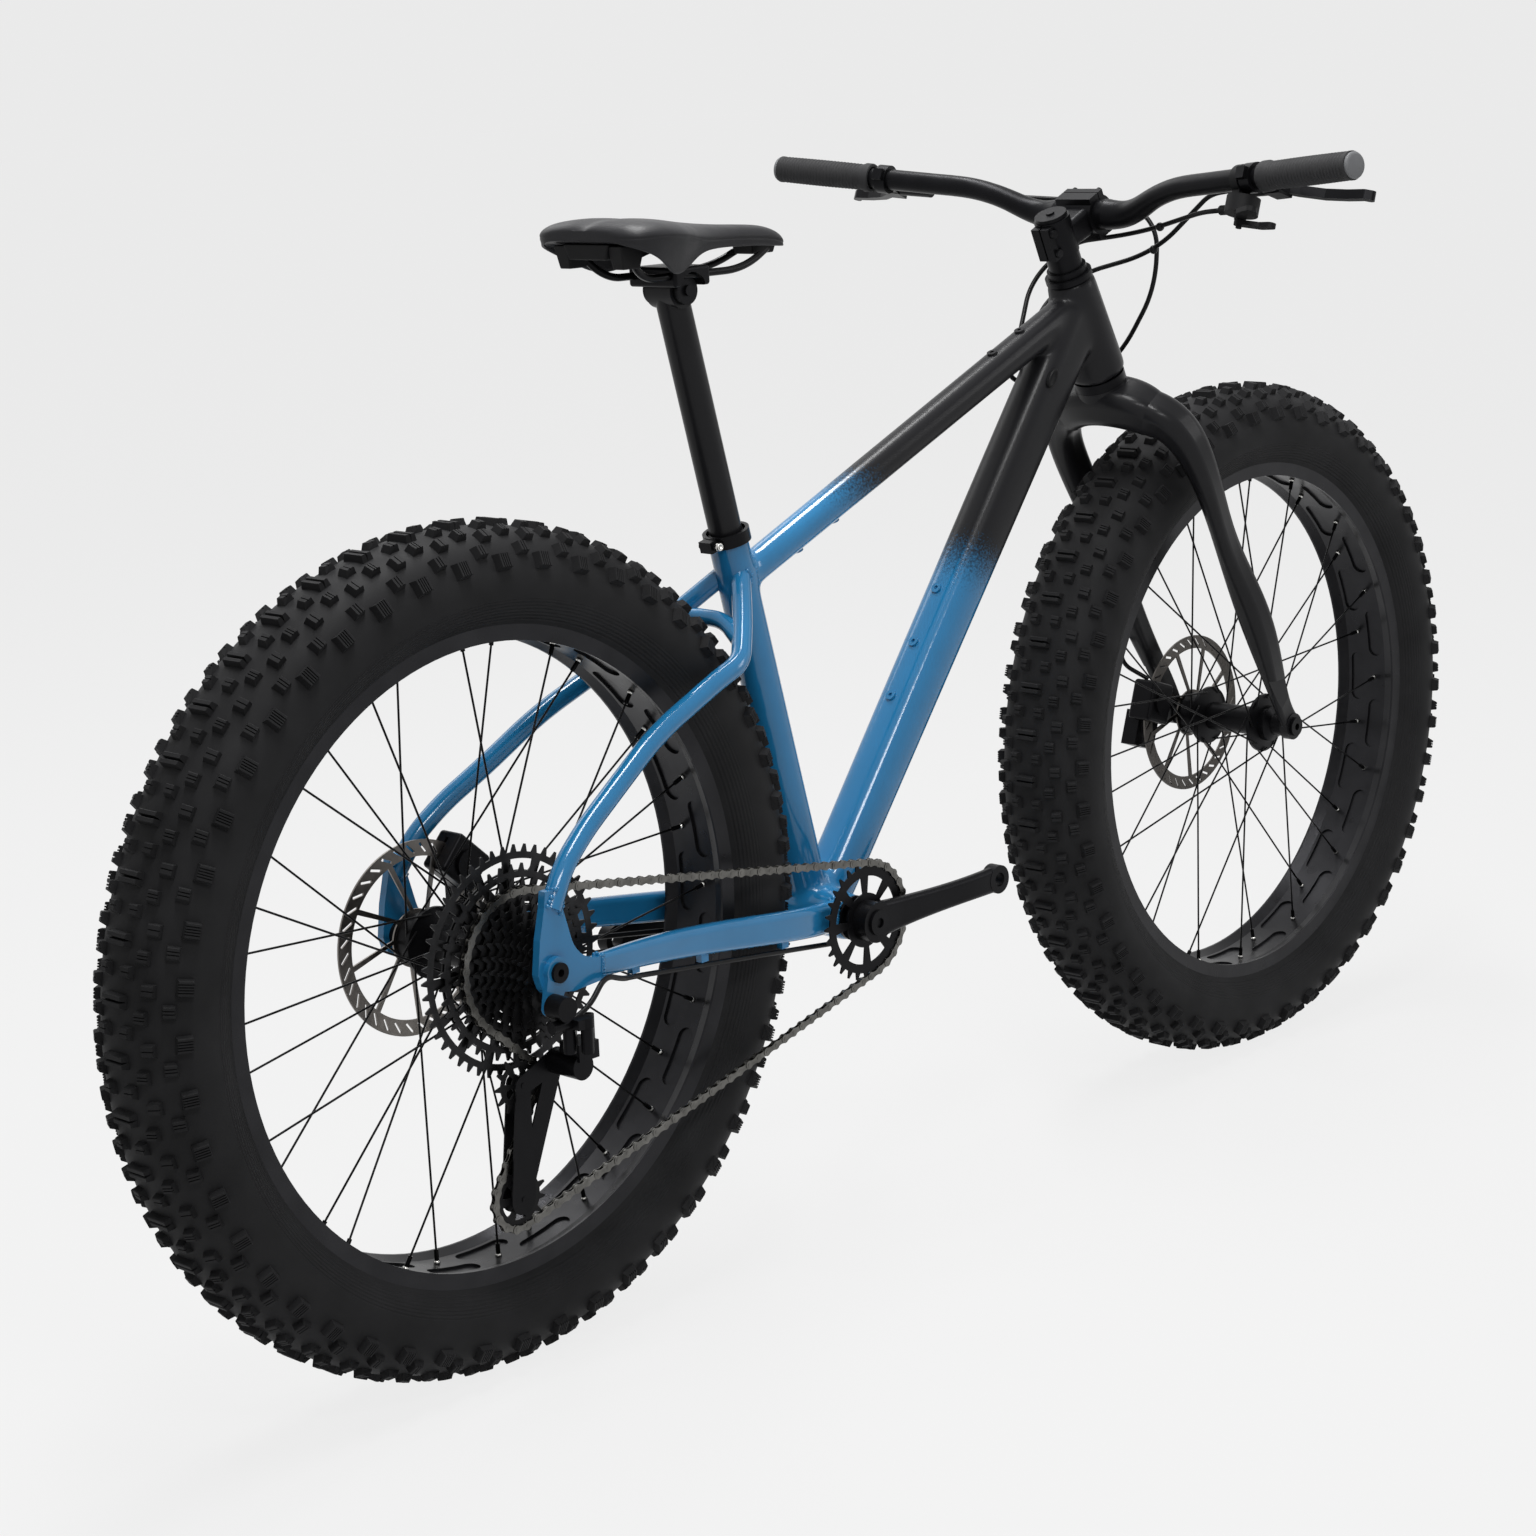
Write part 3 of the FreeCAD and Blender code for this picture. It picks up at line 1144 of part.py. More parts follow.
clamp = rod(at_grip(PIVOT_U - 14), at_grip(PIVOT_U - 1), n.bar_end_radius + 4.0)
cylinder = rod(at_grip(PIVOT_U - 52, 26), at_grip(PIVOT_U - 9, 29), 8.5)
nose = rod(at_grip(PIVOT_U - 60, 25.5), at_grip(PIVOT_U - 50, 26.2), 4.0)
neck = grip_box(PIVOT_U - 14, PIVOT_U - 2, 6, 28, -8, 8)
ears = [grip_box(PIVOT_U - 14, PIVOT_U + 6, 24, PIVOT_F + 6, low, low + 3.2) for low in (-8.6, 5.4)]
pin = rod(at_grip(PIVOT_U, PIVOT_F, -8.6), at_grip(PIVOT_U, PIVOT_F, 8.6), PIN)
lug = grip_box(PIVOT_U - 13, PIVOT_U - 2, -20, 0, -6, 6)
master = clamp.fuse([cylinder, nose, neck, lug] + ears)
master = master.cut(rod(at_grip(PIVOT_U, PIVOT_F, -5.3), at_grip(PIVOT_U, PIVOT_F, 5.3), 7.2))
master = master.fuse(pin).cut(bar_rod).removeSplitter()
master = largest(master)
node(feature_of("master_cylinders", Part.Compound([master, mirrored(master)])))

reach = n.lever_reach
blade_run = [
    (PIVOT_U, PIVOT_F), (PIVOT_U + 9, PIVOT_F + 12), (PIVOT_U + 0.42 * reach, PIVOT_F + 29),
    (PIVOT_U + 0.74 * reach, PIVOT_F + 38), (PIVOT_U + reach, PIVOT_F + 42),
    (PIVOT_U + reach + 4, PIVOT_F + 47),
]
lever = strip(blade_run, 4.4, -4.8, 4.8)
lever = lever.fuse(rod(at_grip(PIVOT_U, PIVOT_F, -4.8), at_grip(PIVOT_U, PIVOT_F, 4.8), 6.4))
lever = lever.cut(rod(at_grip(PIVOT_U, PIVOT_F, -6), at_grip(PIVOT_U, PIVOT_F, 6), PIN + n.running_gap))
lever = largest(lever.removeSplitter())
node(feature_of("brake_lever_right", lever))
node(feature_of("brake_lever_left", mirrored(lever)))

# Shifter under the right side of the bar, with its two levers on one pin
SHIFT_U = PIVOT_U - 22.0
SHIFT_F = 2.0
hoop = rod(at_grip(SHIFT_U - 5), at_grip(SHIFT_U + 5), n.bar_end_radius + 3.5)
hang = grip_box(SHIFT_U - 5, SHIFT_U + 5, -7, 9, -24, -8)
drum = rod(at_grip(SHIFT_U + 4, SHIFT_F, -36), at_grip(SHIFT_U + 4, SHIFT_F, -19), 17.0)
barrel = rod(at_grip(SHIFT_U - 34, SHIFT_F + 8, -26), at_grip(SHIFT_U, SHIFT_F + 8, -27), 5.0)
shift_pin = rod(at_grip(SHIFT_U + 4, SHIFT_F, -50), at_grip(SHIFT_U + 4, SHIFT_F, -30), 3.0)
shifter = hoop.fuse([hang, drum, barrel, shift_pin]).cut(bar_rod).removeSplitter()
node(feature_of("shifter_body", largest(shifter)))
shift_hole = rod(at_grip(SHIFT_U + 4, SHIFT_F, -60), at_grip(SHIFT_U + 4, SHIFT_F, -20),
    3.0 + n.running_gap)
thumb = strip([(SHIFT_U + 4, SHIFT_F), (SHIFT_U + 20, SHIFT_F - 14), (SHIFT_U + 36, SHIFT_F - 18)], 6.0,
    -41.5, -36.5)
thumb = thumb.cut(shift_hole)
node(feature_of("shift_thumb_lever", largest(thumb)))
release = strip([(SHIFT_U + 4, SHIFT_F), (SHIFT_U + 20, SHIFT_F + 14), (SHIFT_U + 31, SHIFT_F + 16)],
    5.5, -47.0, -42.3)
release = release.cut(shift_hole)
node(feature_of("shift_release_lever", largest(release)))

# Chain run: ring, cog in use and the two jockey wheels, seen from the right side
COGS = (11, 13, 15, 17, 19, 22, 25, 28, 32, 36, 42, 50)
cog_index = int(n.chain_cog)
COG_TEETH = COGS[cog_index]
CHAIN_Y = -(n.largest_cog_y + n.cog_pitch * (len(COGS) - 1 - cog_index))
RING_Y = -n.ring_y
CAGE_PIVOT = REAR + V(28.0, 0, -94.0)
UPPER_ARM = V(-40.0, 0, -12.0)
LOWER_ARM = V(-51.0, 0, -115.0)


def swung(arm, degrees):
    """Cage arm turned about its pivot, bottom forward for positive angles."""
    return Rotation(Y_AXIS, -degrees).multVec(arm)


def wheels_at(degrees):
    """Centres, pitch radii, senses, planes and teeth of the four wheels on the chain."""
    upper = CAGE_PIVOT + swung(UPPER_ARM, degrees)
    lower = CAGE_PIVOT + swung(LOWER_ARM, degrees)
    return [
        (CRANK, pitch_radius(n.ring_teeth), 1, RING_Y, n.ring_teeth),
        (REAR, pitch_radius(COG_TEETH), 1, CHAIN_Y, COG_TEETH),
        (upper, pitch_radius(n.jockey_teeth), -1, CHAIN_Y, n.jockey_teeth),
        (lower, pitch_radius(n.lower_jockey_teeth), 1, CHAIN_Y, n.lower_jockey_teeth),
    ]


def chain_runs(degrees):
    """Straight runs between the wheels and the turns on them, in order from the top of the ring."""
    wheels = wheels_at(degrees)
    lines = []
    for k, (centre, radius, sense, y, teeth) in enumerate(wheels):
        other, other_radius, other_sense, other_y, other_teeth = wheels[(k + 1) % 4]
        dx = other.x - centre.x
        dz = other.z - centre.z
        reach = math.hypot(dx, dz)
        at = math.atan2(dz, dx) + math.asin((sense * radius - other_sense * other_radius) / reach)
        normal = V(math.sin(at), 0, -math.cos(at))
        lines.append((centre + normal * (sense * radius) + V(0, y, 0),
                      other + normal * (other_sense * other_radius) + V(0, other_y, 0)))
    runs = []
    for k in range(4):
        start, end = lines[k]
        runs.append(("line", start, end, (end - start).Length))
        centre, radius, sense, y, teeth = wheels[(k + 1) % 4]
        leave = lines[(k + 1) % 4][0]
        first = math.atan2(end.z - centre.z, end.x - centre.x)
        last = math.atan2(leave.z - centre.z, leave.x - centre.x)
        turn = (sense * (last - first)) % (2 * math.pi)
        length = turn * teeth * n.chain_pitch / (2 * math.pi)
        runs.append(("turn", (centre + V(0, y, 0), radius, sense, first, turn), teeth, length))
    return runs


def links_at(degrees):
    """Chain length in links with the cage at an angle."""
    return sum(run[3] for run in chain_runs(degrees)) / n.chain_pitch


low_angle, high_angle = -8.0, 14.0
link_count = 2 * round((links_at(low_angle) + links_at(high_angle)) / 4)
low_sign = links_at(low_angle) > link_count
for step in range(60):
    CAGE_ANGLE = (low_angle + high_angle) / 2
    if (links_at(CAGE_ANGLE) > link_count) == low_sign:
        low_angle = CAGE_ANGLE
    else:
        high_angle = CAGE_ANGLE
if abs(links_at(CAGE_ANGLE) - link_count) > 0.01:
    raise RuntimeError("the chain does not close")
UPPER_JOCKEY = CAGE_PIVOT + swung(UPPER_ARM, CAGE_ANGLE)
LOWER_JOCKEY = CAGE_PIVOT + swung(LOWER_ARM, CAGE_ANGLE)

rollers = []
phases = {}
travel = 0.0
for kind, first, second, length in chain_runs(CAGE_ANGLE):
    while len(rollers) * n.chain_pitch < travel + length and len(rollers) < link_count:
        share = (len(rollers) * n.chain_pitch - travel) / length
        if kind == "line":
            rollers.append(first + (second - first) * share)
            continue
        centre, radius, sense, start, turn = first
        angle = start + sense * turn * share
        rollers.append(centre + V(radius * math.cos(angle), 0, radius * math.sin(angle)))
        phases.setdefault((round(centre.x, 3), round(centre.z, 3)), math.degrees(angle))
    travel += length


def phase_of(centre):
    """Angle at which a wheel has a roller."""
    return phases[(round(centre.x, 3), round(centre.z, 3))]


def link_plate(y, thickness, end_radius, hole):
    """Waisted side plate of a link, with its two holes."""
    half = n.chain_pitch / 2
    lift = end_radius * 0.82
    drop = math.sqrt(end_radius ** 2 - lift ** 2)
    waist = end_radius * 0.62
    outline = Part.Wire([
        Part.Arc(V(-half + drop, 0, lift), V(-half - end_radius, 0, 0), V(-half + drop, 0,
            -lift)).toShape(),
        Part.Arc(V(-half + drop, 0, -lift), V(0, 0, -waist), V(half - drop, 0, -lift)).toShape(),
        Part.Arc(V(half - drop, 0, -lift), V(half + end_radius, 0, 0), V(half - drop, 0, lift)).toShape(),
        Part.Arc(V(half - drop, 0, lift), V(0, 0, waist), V(-half + drop, 0, lift)).toShape(),
    ])
    wires = [outline]
    if hole:
        for x in (-half, half):
            wires.append(Part.Wire([Part.makeCircle(hole, V(x, 0, 0), Y_AXIS)]))
    piece = plate(wires, thickness)
    piece.translate(V(0, y, 0))
    return piece


ROLLER = 3.8
PIN_RADIUS = 1.75
inner_link_solid = link_plate(-1.55, 0.5, 4.2, 1.9).fuse(link_plate(1.55, 0.5, 4.2, 1.9))
outer_link_solid = link_plate(-2.1, 0.5, 4.1, 0.0).fuse(link_plate(2.1, 0.5, 4.1, 0.0))
for x in (-n.chain_pitch / 2, n.chain_pitch / 2):
    inner_link_solid = inner_link_solid.fuse(sleeve(V(x, -1.3, 0), V(x, 1.3, 0), ROLLER, 1.9))
    outer_link_solid = outer_link_solid.fuse(rod(V(x, -2.6, 0), V(x, 2.6, 0), PIN_RADIUS))
inner_link_solid = largest(inner_link_solid.removeSplitter())
outer_link_solid = largest(outer_link_solid.removeSplitter())
links = []
for k, here in enumerate(rollers):
    there = rollers[(k + 1) % link_count]
    along = (there - here).normalize()
    link = (inner_link_solid if k % 2 == 0 else outer_link_solid).copy()
    link.Placement = Placement((here + there) * 0.5, Rotation(along, Y_AXIS, V(), "XYZ"))
    links.append(link)
node(feature_of("chain", Part.Compound(links)))

# Cassette on its freehub body
cog_solids = []
for k, teeth in enumerate(COGS):
    y = -(n.largest_cog_y + n.cog_pitch * (len(COGS) - 1 - k))
    phase = phase_of(REAR) if k == cog_index else phase_of(REAR) + 7.0 * k
    wires = [toothed_wire(teeth, phase), Part.Wire([Part.makeCircle(15.0, ORIGIN, Y_AXIS)])]
    root = pitch_radius(teeth) - 4.0
    if root > 48:
        for j in range(8):
            wires.append(ring_window(24.0, root - 21.0, 45.0 * j + 6, 45.0 * j + 39))
        for j in range(16):
            wires.append(ring_window(root - 16.0, root - 6.0, 22.5 * j + 3, 22.5 * j + 19.5))
    cog = plate(wires, n.cog_thickness)
    cog.translate(REAR + V(0, y, 0))
    cog_solids.append(cog)
hub_end = n.rear_flange_right + n.flange_thickness / 2 + 3.5 + n.face_gap
carrier = sleeve(REAR - V(0, hub_end, 0), REAR - V(0, n.rear_hub_width / 2 - n.face_gap, 0), 17.0,
                 n.rear_axle_radius + n.running_gap)
cassette = carrier.fuse(cog_solids)
node(feature_of("cassette", largest(cassette)))

# Chainring on the crank spindle
ring_root = pitch_radius(n.ring_teeth) - 4.0
wires = [toothed_wire(n.ring_teeth, phase_of(CRANK)), Part.Wire([Part.makeCircle(n.spindle_radius,
    ORIGIN, Y_AXIS)])]
for j in range(8):
    wires.append(ring_window(27.0, ring_root - 9.0, 45.0 * j + 7, 45.0 * j + 38))
chainring = plate(wires, n.ring_thickness)
chainring.translate(CRANK + V(0, RING_Y, 0))
node(feature_of("chainring", chainring))

# Crank arms: drawn level and pointing forward, then tilted; the left one points backward
ring_face = n.ring_y + n.ring_thickness / 2
boss_mid = (ring_face + n.crank_bolt_y) / 2
pedal_mid = n.pedal_face_y - 6.5


def arm_section(x, y, half_thick, half_tall, corner):
    """Section of the right arm at a distance from the crank axle."""
    return (V(x, -y, 0), X_AXIS, V(0, 1, 0), half_thick, half_tall, corner)


arm = skin([
    arm_section(6.0, boss_mid + 1.0, 7.0, 18.0, 5.0),
    arm_section(n.crank_length * 0.3, boss_mid + 3.5, 6.2, 14.5, 5.0),
    arm_section(n.crank_length * 0.65, pedal_mid - 2.5, 6.0, 12.5, 5.0),
    arm_section(n.crank_length - 5.0, pedal_mid, 6.2, 13.0, 5.0),
])
boss = rod(V(0, -ring_face, 0), V(0, -n.crank_bolt_y, 0), 20.0)
eye = rod(V(n.crank_length, -(pedal_mid - 6.5), 0), V(n.crank_length, -n.pedal_face_y, 0), 14.5)
arm = arm.fuse([boss, eye])
arm = arm.cut(rod(V(n.crank_length, -150, 0), V(n.crank_length, 0, 0), n.pedal_hole_radius))
bolt = rod(V(0, -n.crank_bolt_y, 0), V(0, -n.crank_bolt_y - 2.5, 0), 12.5)
bolt = bolt.cut(rod(V(0, -n.crank_bolt_y - 4, 0), V(0, -n.crank_bolt_y + 0.5, 0), 5.0))
arm = largest(arm.fuse(bolt).removeSplitter())
left_arm = mirrored(arm)
left_arm.rotate(ORIGIN, Y_AXIS, 180)
spindle = sleeve(V(0, -ring_face, 0), V(0, ring_face, 0), n.spindle_radius, n.spindle_radius - 3.0)
crank_solids = [arm, left_arm, spindle]
for solid in crank_solids:
    solid.rotate(ORIGIN, Y_AXIS, -n.crank_tilt)
    solid.translate(CRANK)
node(feature_of("crank_arms", Part.Compound(crank_solids)))

# Derailleur: mounting knuckle, two links on upright pins, cage knuckle, cage and jockey wheels
LINK_LOW = REAR.z - 72.0
LINK_HIGH = REAR.z - 49.0
DIAG = math.sqrt(0.5)
PIN_LINK = 3.0
P_ONE = V(CAGE_PIVOT.x + 2.0, CHAIN_Y - 27.0, 0)
B_ONE = P_ONE - V(n.link_length * DIAG, n.link_length * DIAG, 0)
APART = V(10.0, -12.0, 0)
B_TWO = B_ONE + APART
P_TWO = P_ONE + APART


def upright(point, low, high, radius):
    """Upright round bar at a point of the plan view."""
    return rod(V(point.x, point.y, low), V(point.x, point.y, high), radius)


def link_bar(first, second, half_width, hole):
    """Derailleur link with an eye at each end."""
    run = second - first
    box = Part.makeBox(run.Length, 2 * half_width, LINK_HIGH - LINK_LOW, V(0, -half_width, 0))
    box.Placement = Placement(V(first.x, first.y, LINK_LOW), Rotation(Z_AXIS,
        math.degrees(math.atan2(run.y, run.x))))
    bar = box.fuse([upright(first, LINK_LOW, LINK_HIGH, half_width), upright(second, LINK_LOW,
        LINK_HIGH, half_width)])
    for point in (first, second):
        bar = bar.cut(upright(point, LINK_LOW - 1, LINK_HIGH + 1, hole))
    return largest(bar.removeSplitter())


node(feature_of("derailleur_outer_link", link_bar(B_TWO, P_TWO, 5.5, PIN_LINK + n.running_gap)))
node(feature_of("derailleur_inner_link", link_bar(B_ONE, P_ONE, 5.5, PIN_LINK + n.running_gap)))
HANGER_BOLT = REAR + V(-9.0, -(HALF_REAR + n.dropout_thickness), -28.0)
b_low = LINK_HIGH + 0.5
knuckle = upright(B_ONE, b_low, b_low + 9.0, 6.5).fuse([
    upright(B_TWO, b_low, b_low + 9.0, 6.5),
    Part.makeBox(16, 22, 9, V(B_ONE.x - 3, B_TWO.y - 4, b_low)),
    upright(B_ONE, LINK_LOW + 0.5, b_low + 3, PIN_LINK), upright(B_TWO, LINK_LOW + 0.5, b_low + 3,
        PIN_LINK),
    rod(HANGER_BOLT - V(0, hanger_thickness, 0), HANGER_BOLT - V(0, 24.0, 0), 11.0),
    rod(V(HANGER_BOLT.x - 12, B_ONE.y - 3, b_low + 5), V(HANGER_BOLT.x + 8, B_ONE.y - 3, b_low + 5), 5.5),
])
knuckle = knuckle.fuse(rod(HANGER_BOLT, HANGER_BOLT - V(0, 14, 0), 5.0))
node(feature_of("derailleur_b_knuckle", largest(knuckle.removeSplitter())))

p_high = LINK_LOW - 0.5
CAGE_OUT = CHAIN_Y - 5.5
PIVOT_BOSS = CAGE_PIVOT + V(0, CAGE_OUT - 1.6 - n.face_gap, 0)
barrel_end = P_TWO.y - 4.0
p_body = rod(PIVOT_BOSS, V(CAGE_PIVOT.x, barrel_end, CAGE_PIVOT.z), 12.0)
p_block = Part.makeBox(24, P_ONE.y - P_TWO.y + 13, 16, V(CAGE_PIVOT.x - 6, P_TWO.y - 6, p_high - 16))
p_knuckle = p_body.fuse([
    p_block, upright(P_ONE, p_high - 12, LINK_HIGH - 0.5, PIN_LINK), upright(P_TWO, p_high - 12,
        LINK_HIGH - 0.5, PIN_LINK),
])
cage_pin = rod(PIVOT_BOSS - V(0, 2, 0), CAGE_PIVOT + V(0, CAGE_OUT + 0.5, 0), 4.0)
p_knuckle = largest(p_knuckle.fuse(cage_pin).removeSplitter())
node(feature_of("derailleur_p_knuckle", p_knuckle))


def flat_bar(a, b, half_a, half_b, y, thickness):
    """Flat bar in the side view with round ends of two sizes."""
    ends_of = [rod(V(p.x, y, p.z), V(p.x, y - thickness, p.z), r) for p, r in ((a, half_a), (b, half_b))]
    run = V(b.x - a.x, 0, b.z - a.z)
    across = run.cross(Y_AXIS).normalize()
    corners = [a + across * half_a, b + across * half_b, b - across * half_b, a - across * half_a]
    corners = [V(c.x, y, c.z) for c in corners]
    web = Part.Face(Part.makePolygon(corners + corners[:1])).extrude(V(0, -thickness, 0))
    return web.fuse(ends_of)


cage_plates = []
for y in (CAGE_OUT, CHAIN_Y + 5.5 + 1.6):
    bars = flat_bar(UPPER_JOCKEY, LOWER_JOCKEY, 8.0, 14.0, y, 1.6)
    if y < CHAIN_Y:
        bars = bars.fuse(flat_bar(CAGE_PIVOT, UPPER_JOCKEY, 11.0, 9.0, y, 1.6))
        bars = bars.fuse(flat_bar(CAGE_PIVOT, LOWER_JOCKEY, 10.0, 9.0, y, 1.6))
    cage_plates.append(bars)
cage = cage_plates[0].fuse(cage_plates[1])
for point in (UPPER_JOCKEY, LOWER_JOCKEY):
    cage = cage.fuse(rod(V(point.x, CAGE_OUT - 2.2, point.z), V(point.x, CHAIN_Y + 7.6, point.z), 2.5))
cage = cage.cut(rod(CAGE_PIVOT + V(0, CAGE_OUT + 2, 0), CAGE_PIVOT + V(0, CAGE_OUT - 4, 0),
    4.0 + n.running_gap))
node(feature_of("derailleur_cage", largest(cage.removeSplitter())))
for label, point, teeth in (("upper_jockey", UPPER_JOCKEY, n.jockey_teeth),
    ("lower_jockey", LOWER_JOCKEY, n.lower_jockey_teeth)):
    wires = [toothed_wire(teeth, phase_of(point)), Part.Wire([Part.makeCircle(2.5 + n.running_gap,
        ORIGIN, Y_AXIS)])]
    for j in range(6):
        wires.append(ring_window(8.0, pitch_radius(teeth) - 8.5, 60.0 * j + 12, 60.0 * j + 48))
    wheel = plate(wires, 1.5)
    wheel.translate(point + V(0, CHAIN_Y, 0))
    node(feature_of(label, wheel))

# Brakes: calipers over the rotors, two pads in each


def brake_block(centre, degrees, r0, r1, t0, t1, y0, y1):
    """Block given by radius, tangent and side beside a wheel axle."""
    out = polar(1.0, degrees)
    box = Part.makeBox(r1 - r0, y1 - y0, t1 - t0, V(r0, y0, t0))
    box.Placement = Placement(centre, Rotation(out, Y_AXIS, out.cross(Y_AXIS), "XYZ"))
    return box


def make_caliper(centre, degrees, arms):
    """Caliper body with the rotor slot and the pad pocket, and its mounting arm."""
    radius = n.rotor_radius
    body = brake_block(centre, degrees, radius - 29, radius + 10, -23, 23, -15, 15)
    body = body.makeFillet(4.0, body.Edges)
    out = polar(1.0, degrees)
    middle = centre + out * (radius - 10.0)
    for side in (-1, 1):
        body = body.fuse(rod(middle + V(0, side * 12, 0), middle + V(0, side * 18, 0), 13.0))
    body = body.fuse(arms)
    body = body.cut(brake_block(centre, degrees, radius - 40, radius + 2.5, -60, 60, -1.7, 1.7))
    body = body.cut(brake_block(centre, degrees, radius - 20, radius + 1.5, -13, 13, -4.7, 4.7))
    return largest(body.removeSplitter())


def make_pad(label, centre, degrees, side):
    """Brake pad beside the rotor."""
    low, high = sorted((side * 1.3, side * 4.4))
    block = brake_block(centre, degrees, n.rotor_radius - 19.7, n.rotor_radius + 1.2, -12.6, 12.6, low,
        high)
    node(feature_of(label, block))


REAR_BRAKE = REAR + V(0, n.rear_rotor_y, 0)
REAR_BRAKE_AT = 48.0
left_stay = nodes["chainstays"].Shape.Solids[1]
arm_foot = rear_run(0.845, 0.0, 0.0)
bracket = Part.makeBox(24, 15, 60, V(arm_foot.x - 12, n.rear_rotor_y + 6, arm_foot.z))
bracket = bracket.cut(left_stay).cut(mirrored(END_RIGHT))
bracket = max(bracket.Solids, key=lambda solid: solid.CenterOfMass.z)
node(feature_of("rear_caliper", make_caliper(REAR_BRAKE, REAR_BRAKE_AT, [bracket])))
make_pad("rear_pad_outer", REAR_BRAKE, REAR_BRAKE_AT, 1)
make_pad("rear_pad_inner", REAR_BRAKE, REAR_BRAKE_AT, -1)

FRONT_BRAKE = FRONT + V(0, n.front_rotor_y, 0)
FRONT_BRAKE_AT = 161.0
left_blade = nodes["fork_blades"].Shape.Solids[1]
bracket = brake_block(FRONT_BRAKE, FRONT_BRAKE_AT, n.rotor_radius - 42, n.rotor_radius - 4, 12, 52, 8, 27)
bracket = bracket.cut(left_blade)
bracket = min(bracket.Solids, key=lambda solid: (solid.CenterOfMass - FRONT_BRAKE - polar(80,
    FRONT_BRAKE_AT)).Length)
node(feature_of("front_caliper", make_caliper(FRONT_BRAKE, FRONT_BRAKE_AT, [bracket])))
make_pad("front_pad_outer", FRONT_BRAKE, FRONT_BRAKE_AT, 1)
make_pad("front_pad_inner", FRONT_BRAKE, FRONT_BRAKE_AT, -1)

# Seatpost, saddle clamp, saddle and rails
POST_TOP = SEAT_TOP + n.post_showing
HEAD = seat(POST_TOP)
post = sleeve(seat(SEAT_TOP - 130), seat(POST_TOP - 4), n.post_radius, n.post_radius - 2.4)
post = post.fuse(rod(seat(POST_TOP - 40), seat(POST_TOP - 4), n.post_radius))
post_head = rod(HEAD - V(0, 16, 0), HEAD + V(0, 16, 0), 16.5)
node(feature_of("seatpost", largest(post.fuse(post_head).removeSplitter())))

RAIL_RISE = 14.0
RAIL_Y = 22.0
SADDLE_FACE = HEAD + V(0, 0, RAIL_RISE)
cradle = Part.makeBox(46, 60, 18, V(HEAD.x - 23, -30, HEAD.z + 4))
cradle = cradle.makeFillet(3.0, cradle.Edges)
cradle = cradle.cut(rod(HEAD - V(0, 40, 0), HEAD + V(0, 40, 0), 16.5 + n.face_gap))
ear_pair = []
for side in (-1, 1):
    inner_face = HEAD + V(0, side * (16 + n.face_gap), 0)
    ear_pair.append(rod(inner_face, inner_face + V(0, side * 6, 0), 13.0))
    ear_pair.append(rod(inner_face + V(0, side * 6, 0), inner_face + V(0, side * 9, 0), 5.0))
cradle = cradle.fuse(ear_pair)
for side in (-1, 1):
    rail_line = SADDLE_FACE + V(0, side * RAIL_Y, 0)
    cradle = cradle.cut(rod(rail_line - V(60, 0, 0), rail_line + V(60, 0, 0),
        n.rail_radius + n.running_gap))
cradle = cradle.removeSplitter()
node(feature_of("saddle_clamp", Part.Compound(cradle.Solids)))

SADDLE_MID = HEAD + V(18.0, 0, 62.0)
HALF_SADDLE = n.saddle_length / 2


def saddle_row(share, width, top, depth):
    """Section of the cushion: flat below, drawn in at the sides, crowned above."""
    x = SADDLE_MID.x + HALF_SADDLE * share
    half = n.saddle_half_width * width
    high = SADDLE_MID.z + top
    low = high - depth

    def spot(y, z):
        return V(x, y, z)

    return Part.Wire([
        Part.makeLine(spot(0.70 * half, low), spot(-0.70 * half, low)),
        Part.Arc(spot(-0.70 * half, low), spot(-half, low + 0.42 * depth), spot(-0.80 * half,
            high - 0.16 * depth)).toShape(),
        Part.Arc(spot(-0.80 * half, high - 0.16 * depth), spot(0, high), spot(0.80 * half,
            high - 0.16 * depth)).toShape(),
        Part.Arc(spot(0.80 * half, high - 0.16 * depth), spot(half, low + 0.42 * depth),
            spot(0.70 * half, low)).toShape(),
    ])


saddle = Part.makeLoft([
    saddle_row(-1.0, 0.60, 2.0, 16.0), saddle_row(-0.90, 0.92, 7.0, 30.0), saddle_row(-0.62, 1.0, 7.0,
    38.0),
    saddle_row(-0.25, 0.76, 1.0, 38.0), saddle_row(0.15, 0.42, -6.0, 34.0), saddle_row(0.60, 0.30,
    -10.0, 29.0),
    saddle_row(0.90, 0.25, -12.0, 24.0), saddle_row(1.0, 0.14, -17.0, 12.0),
], True, False)
node(feature_of("saddle", saddle))
rails = []
for side in (-1, 1):
    level = SADDLE_FACE + V(0, side * RAIL_Y, 0)
    rail = cord([
        level + V(-86, side * 14, 32), level + V(-60, 0, 0), level + V(76, 0, 0), level + V(130,
            -side * 8, 24),
    ], n.rail_radius)
    rails.append(largest(rail.cut(saddle)))
node(feature_of("saddle_rails", Part.Compound(rails)))

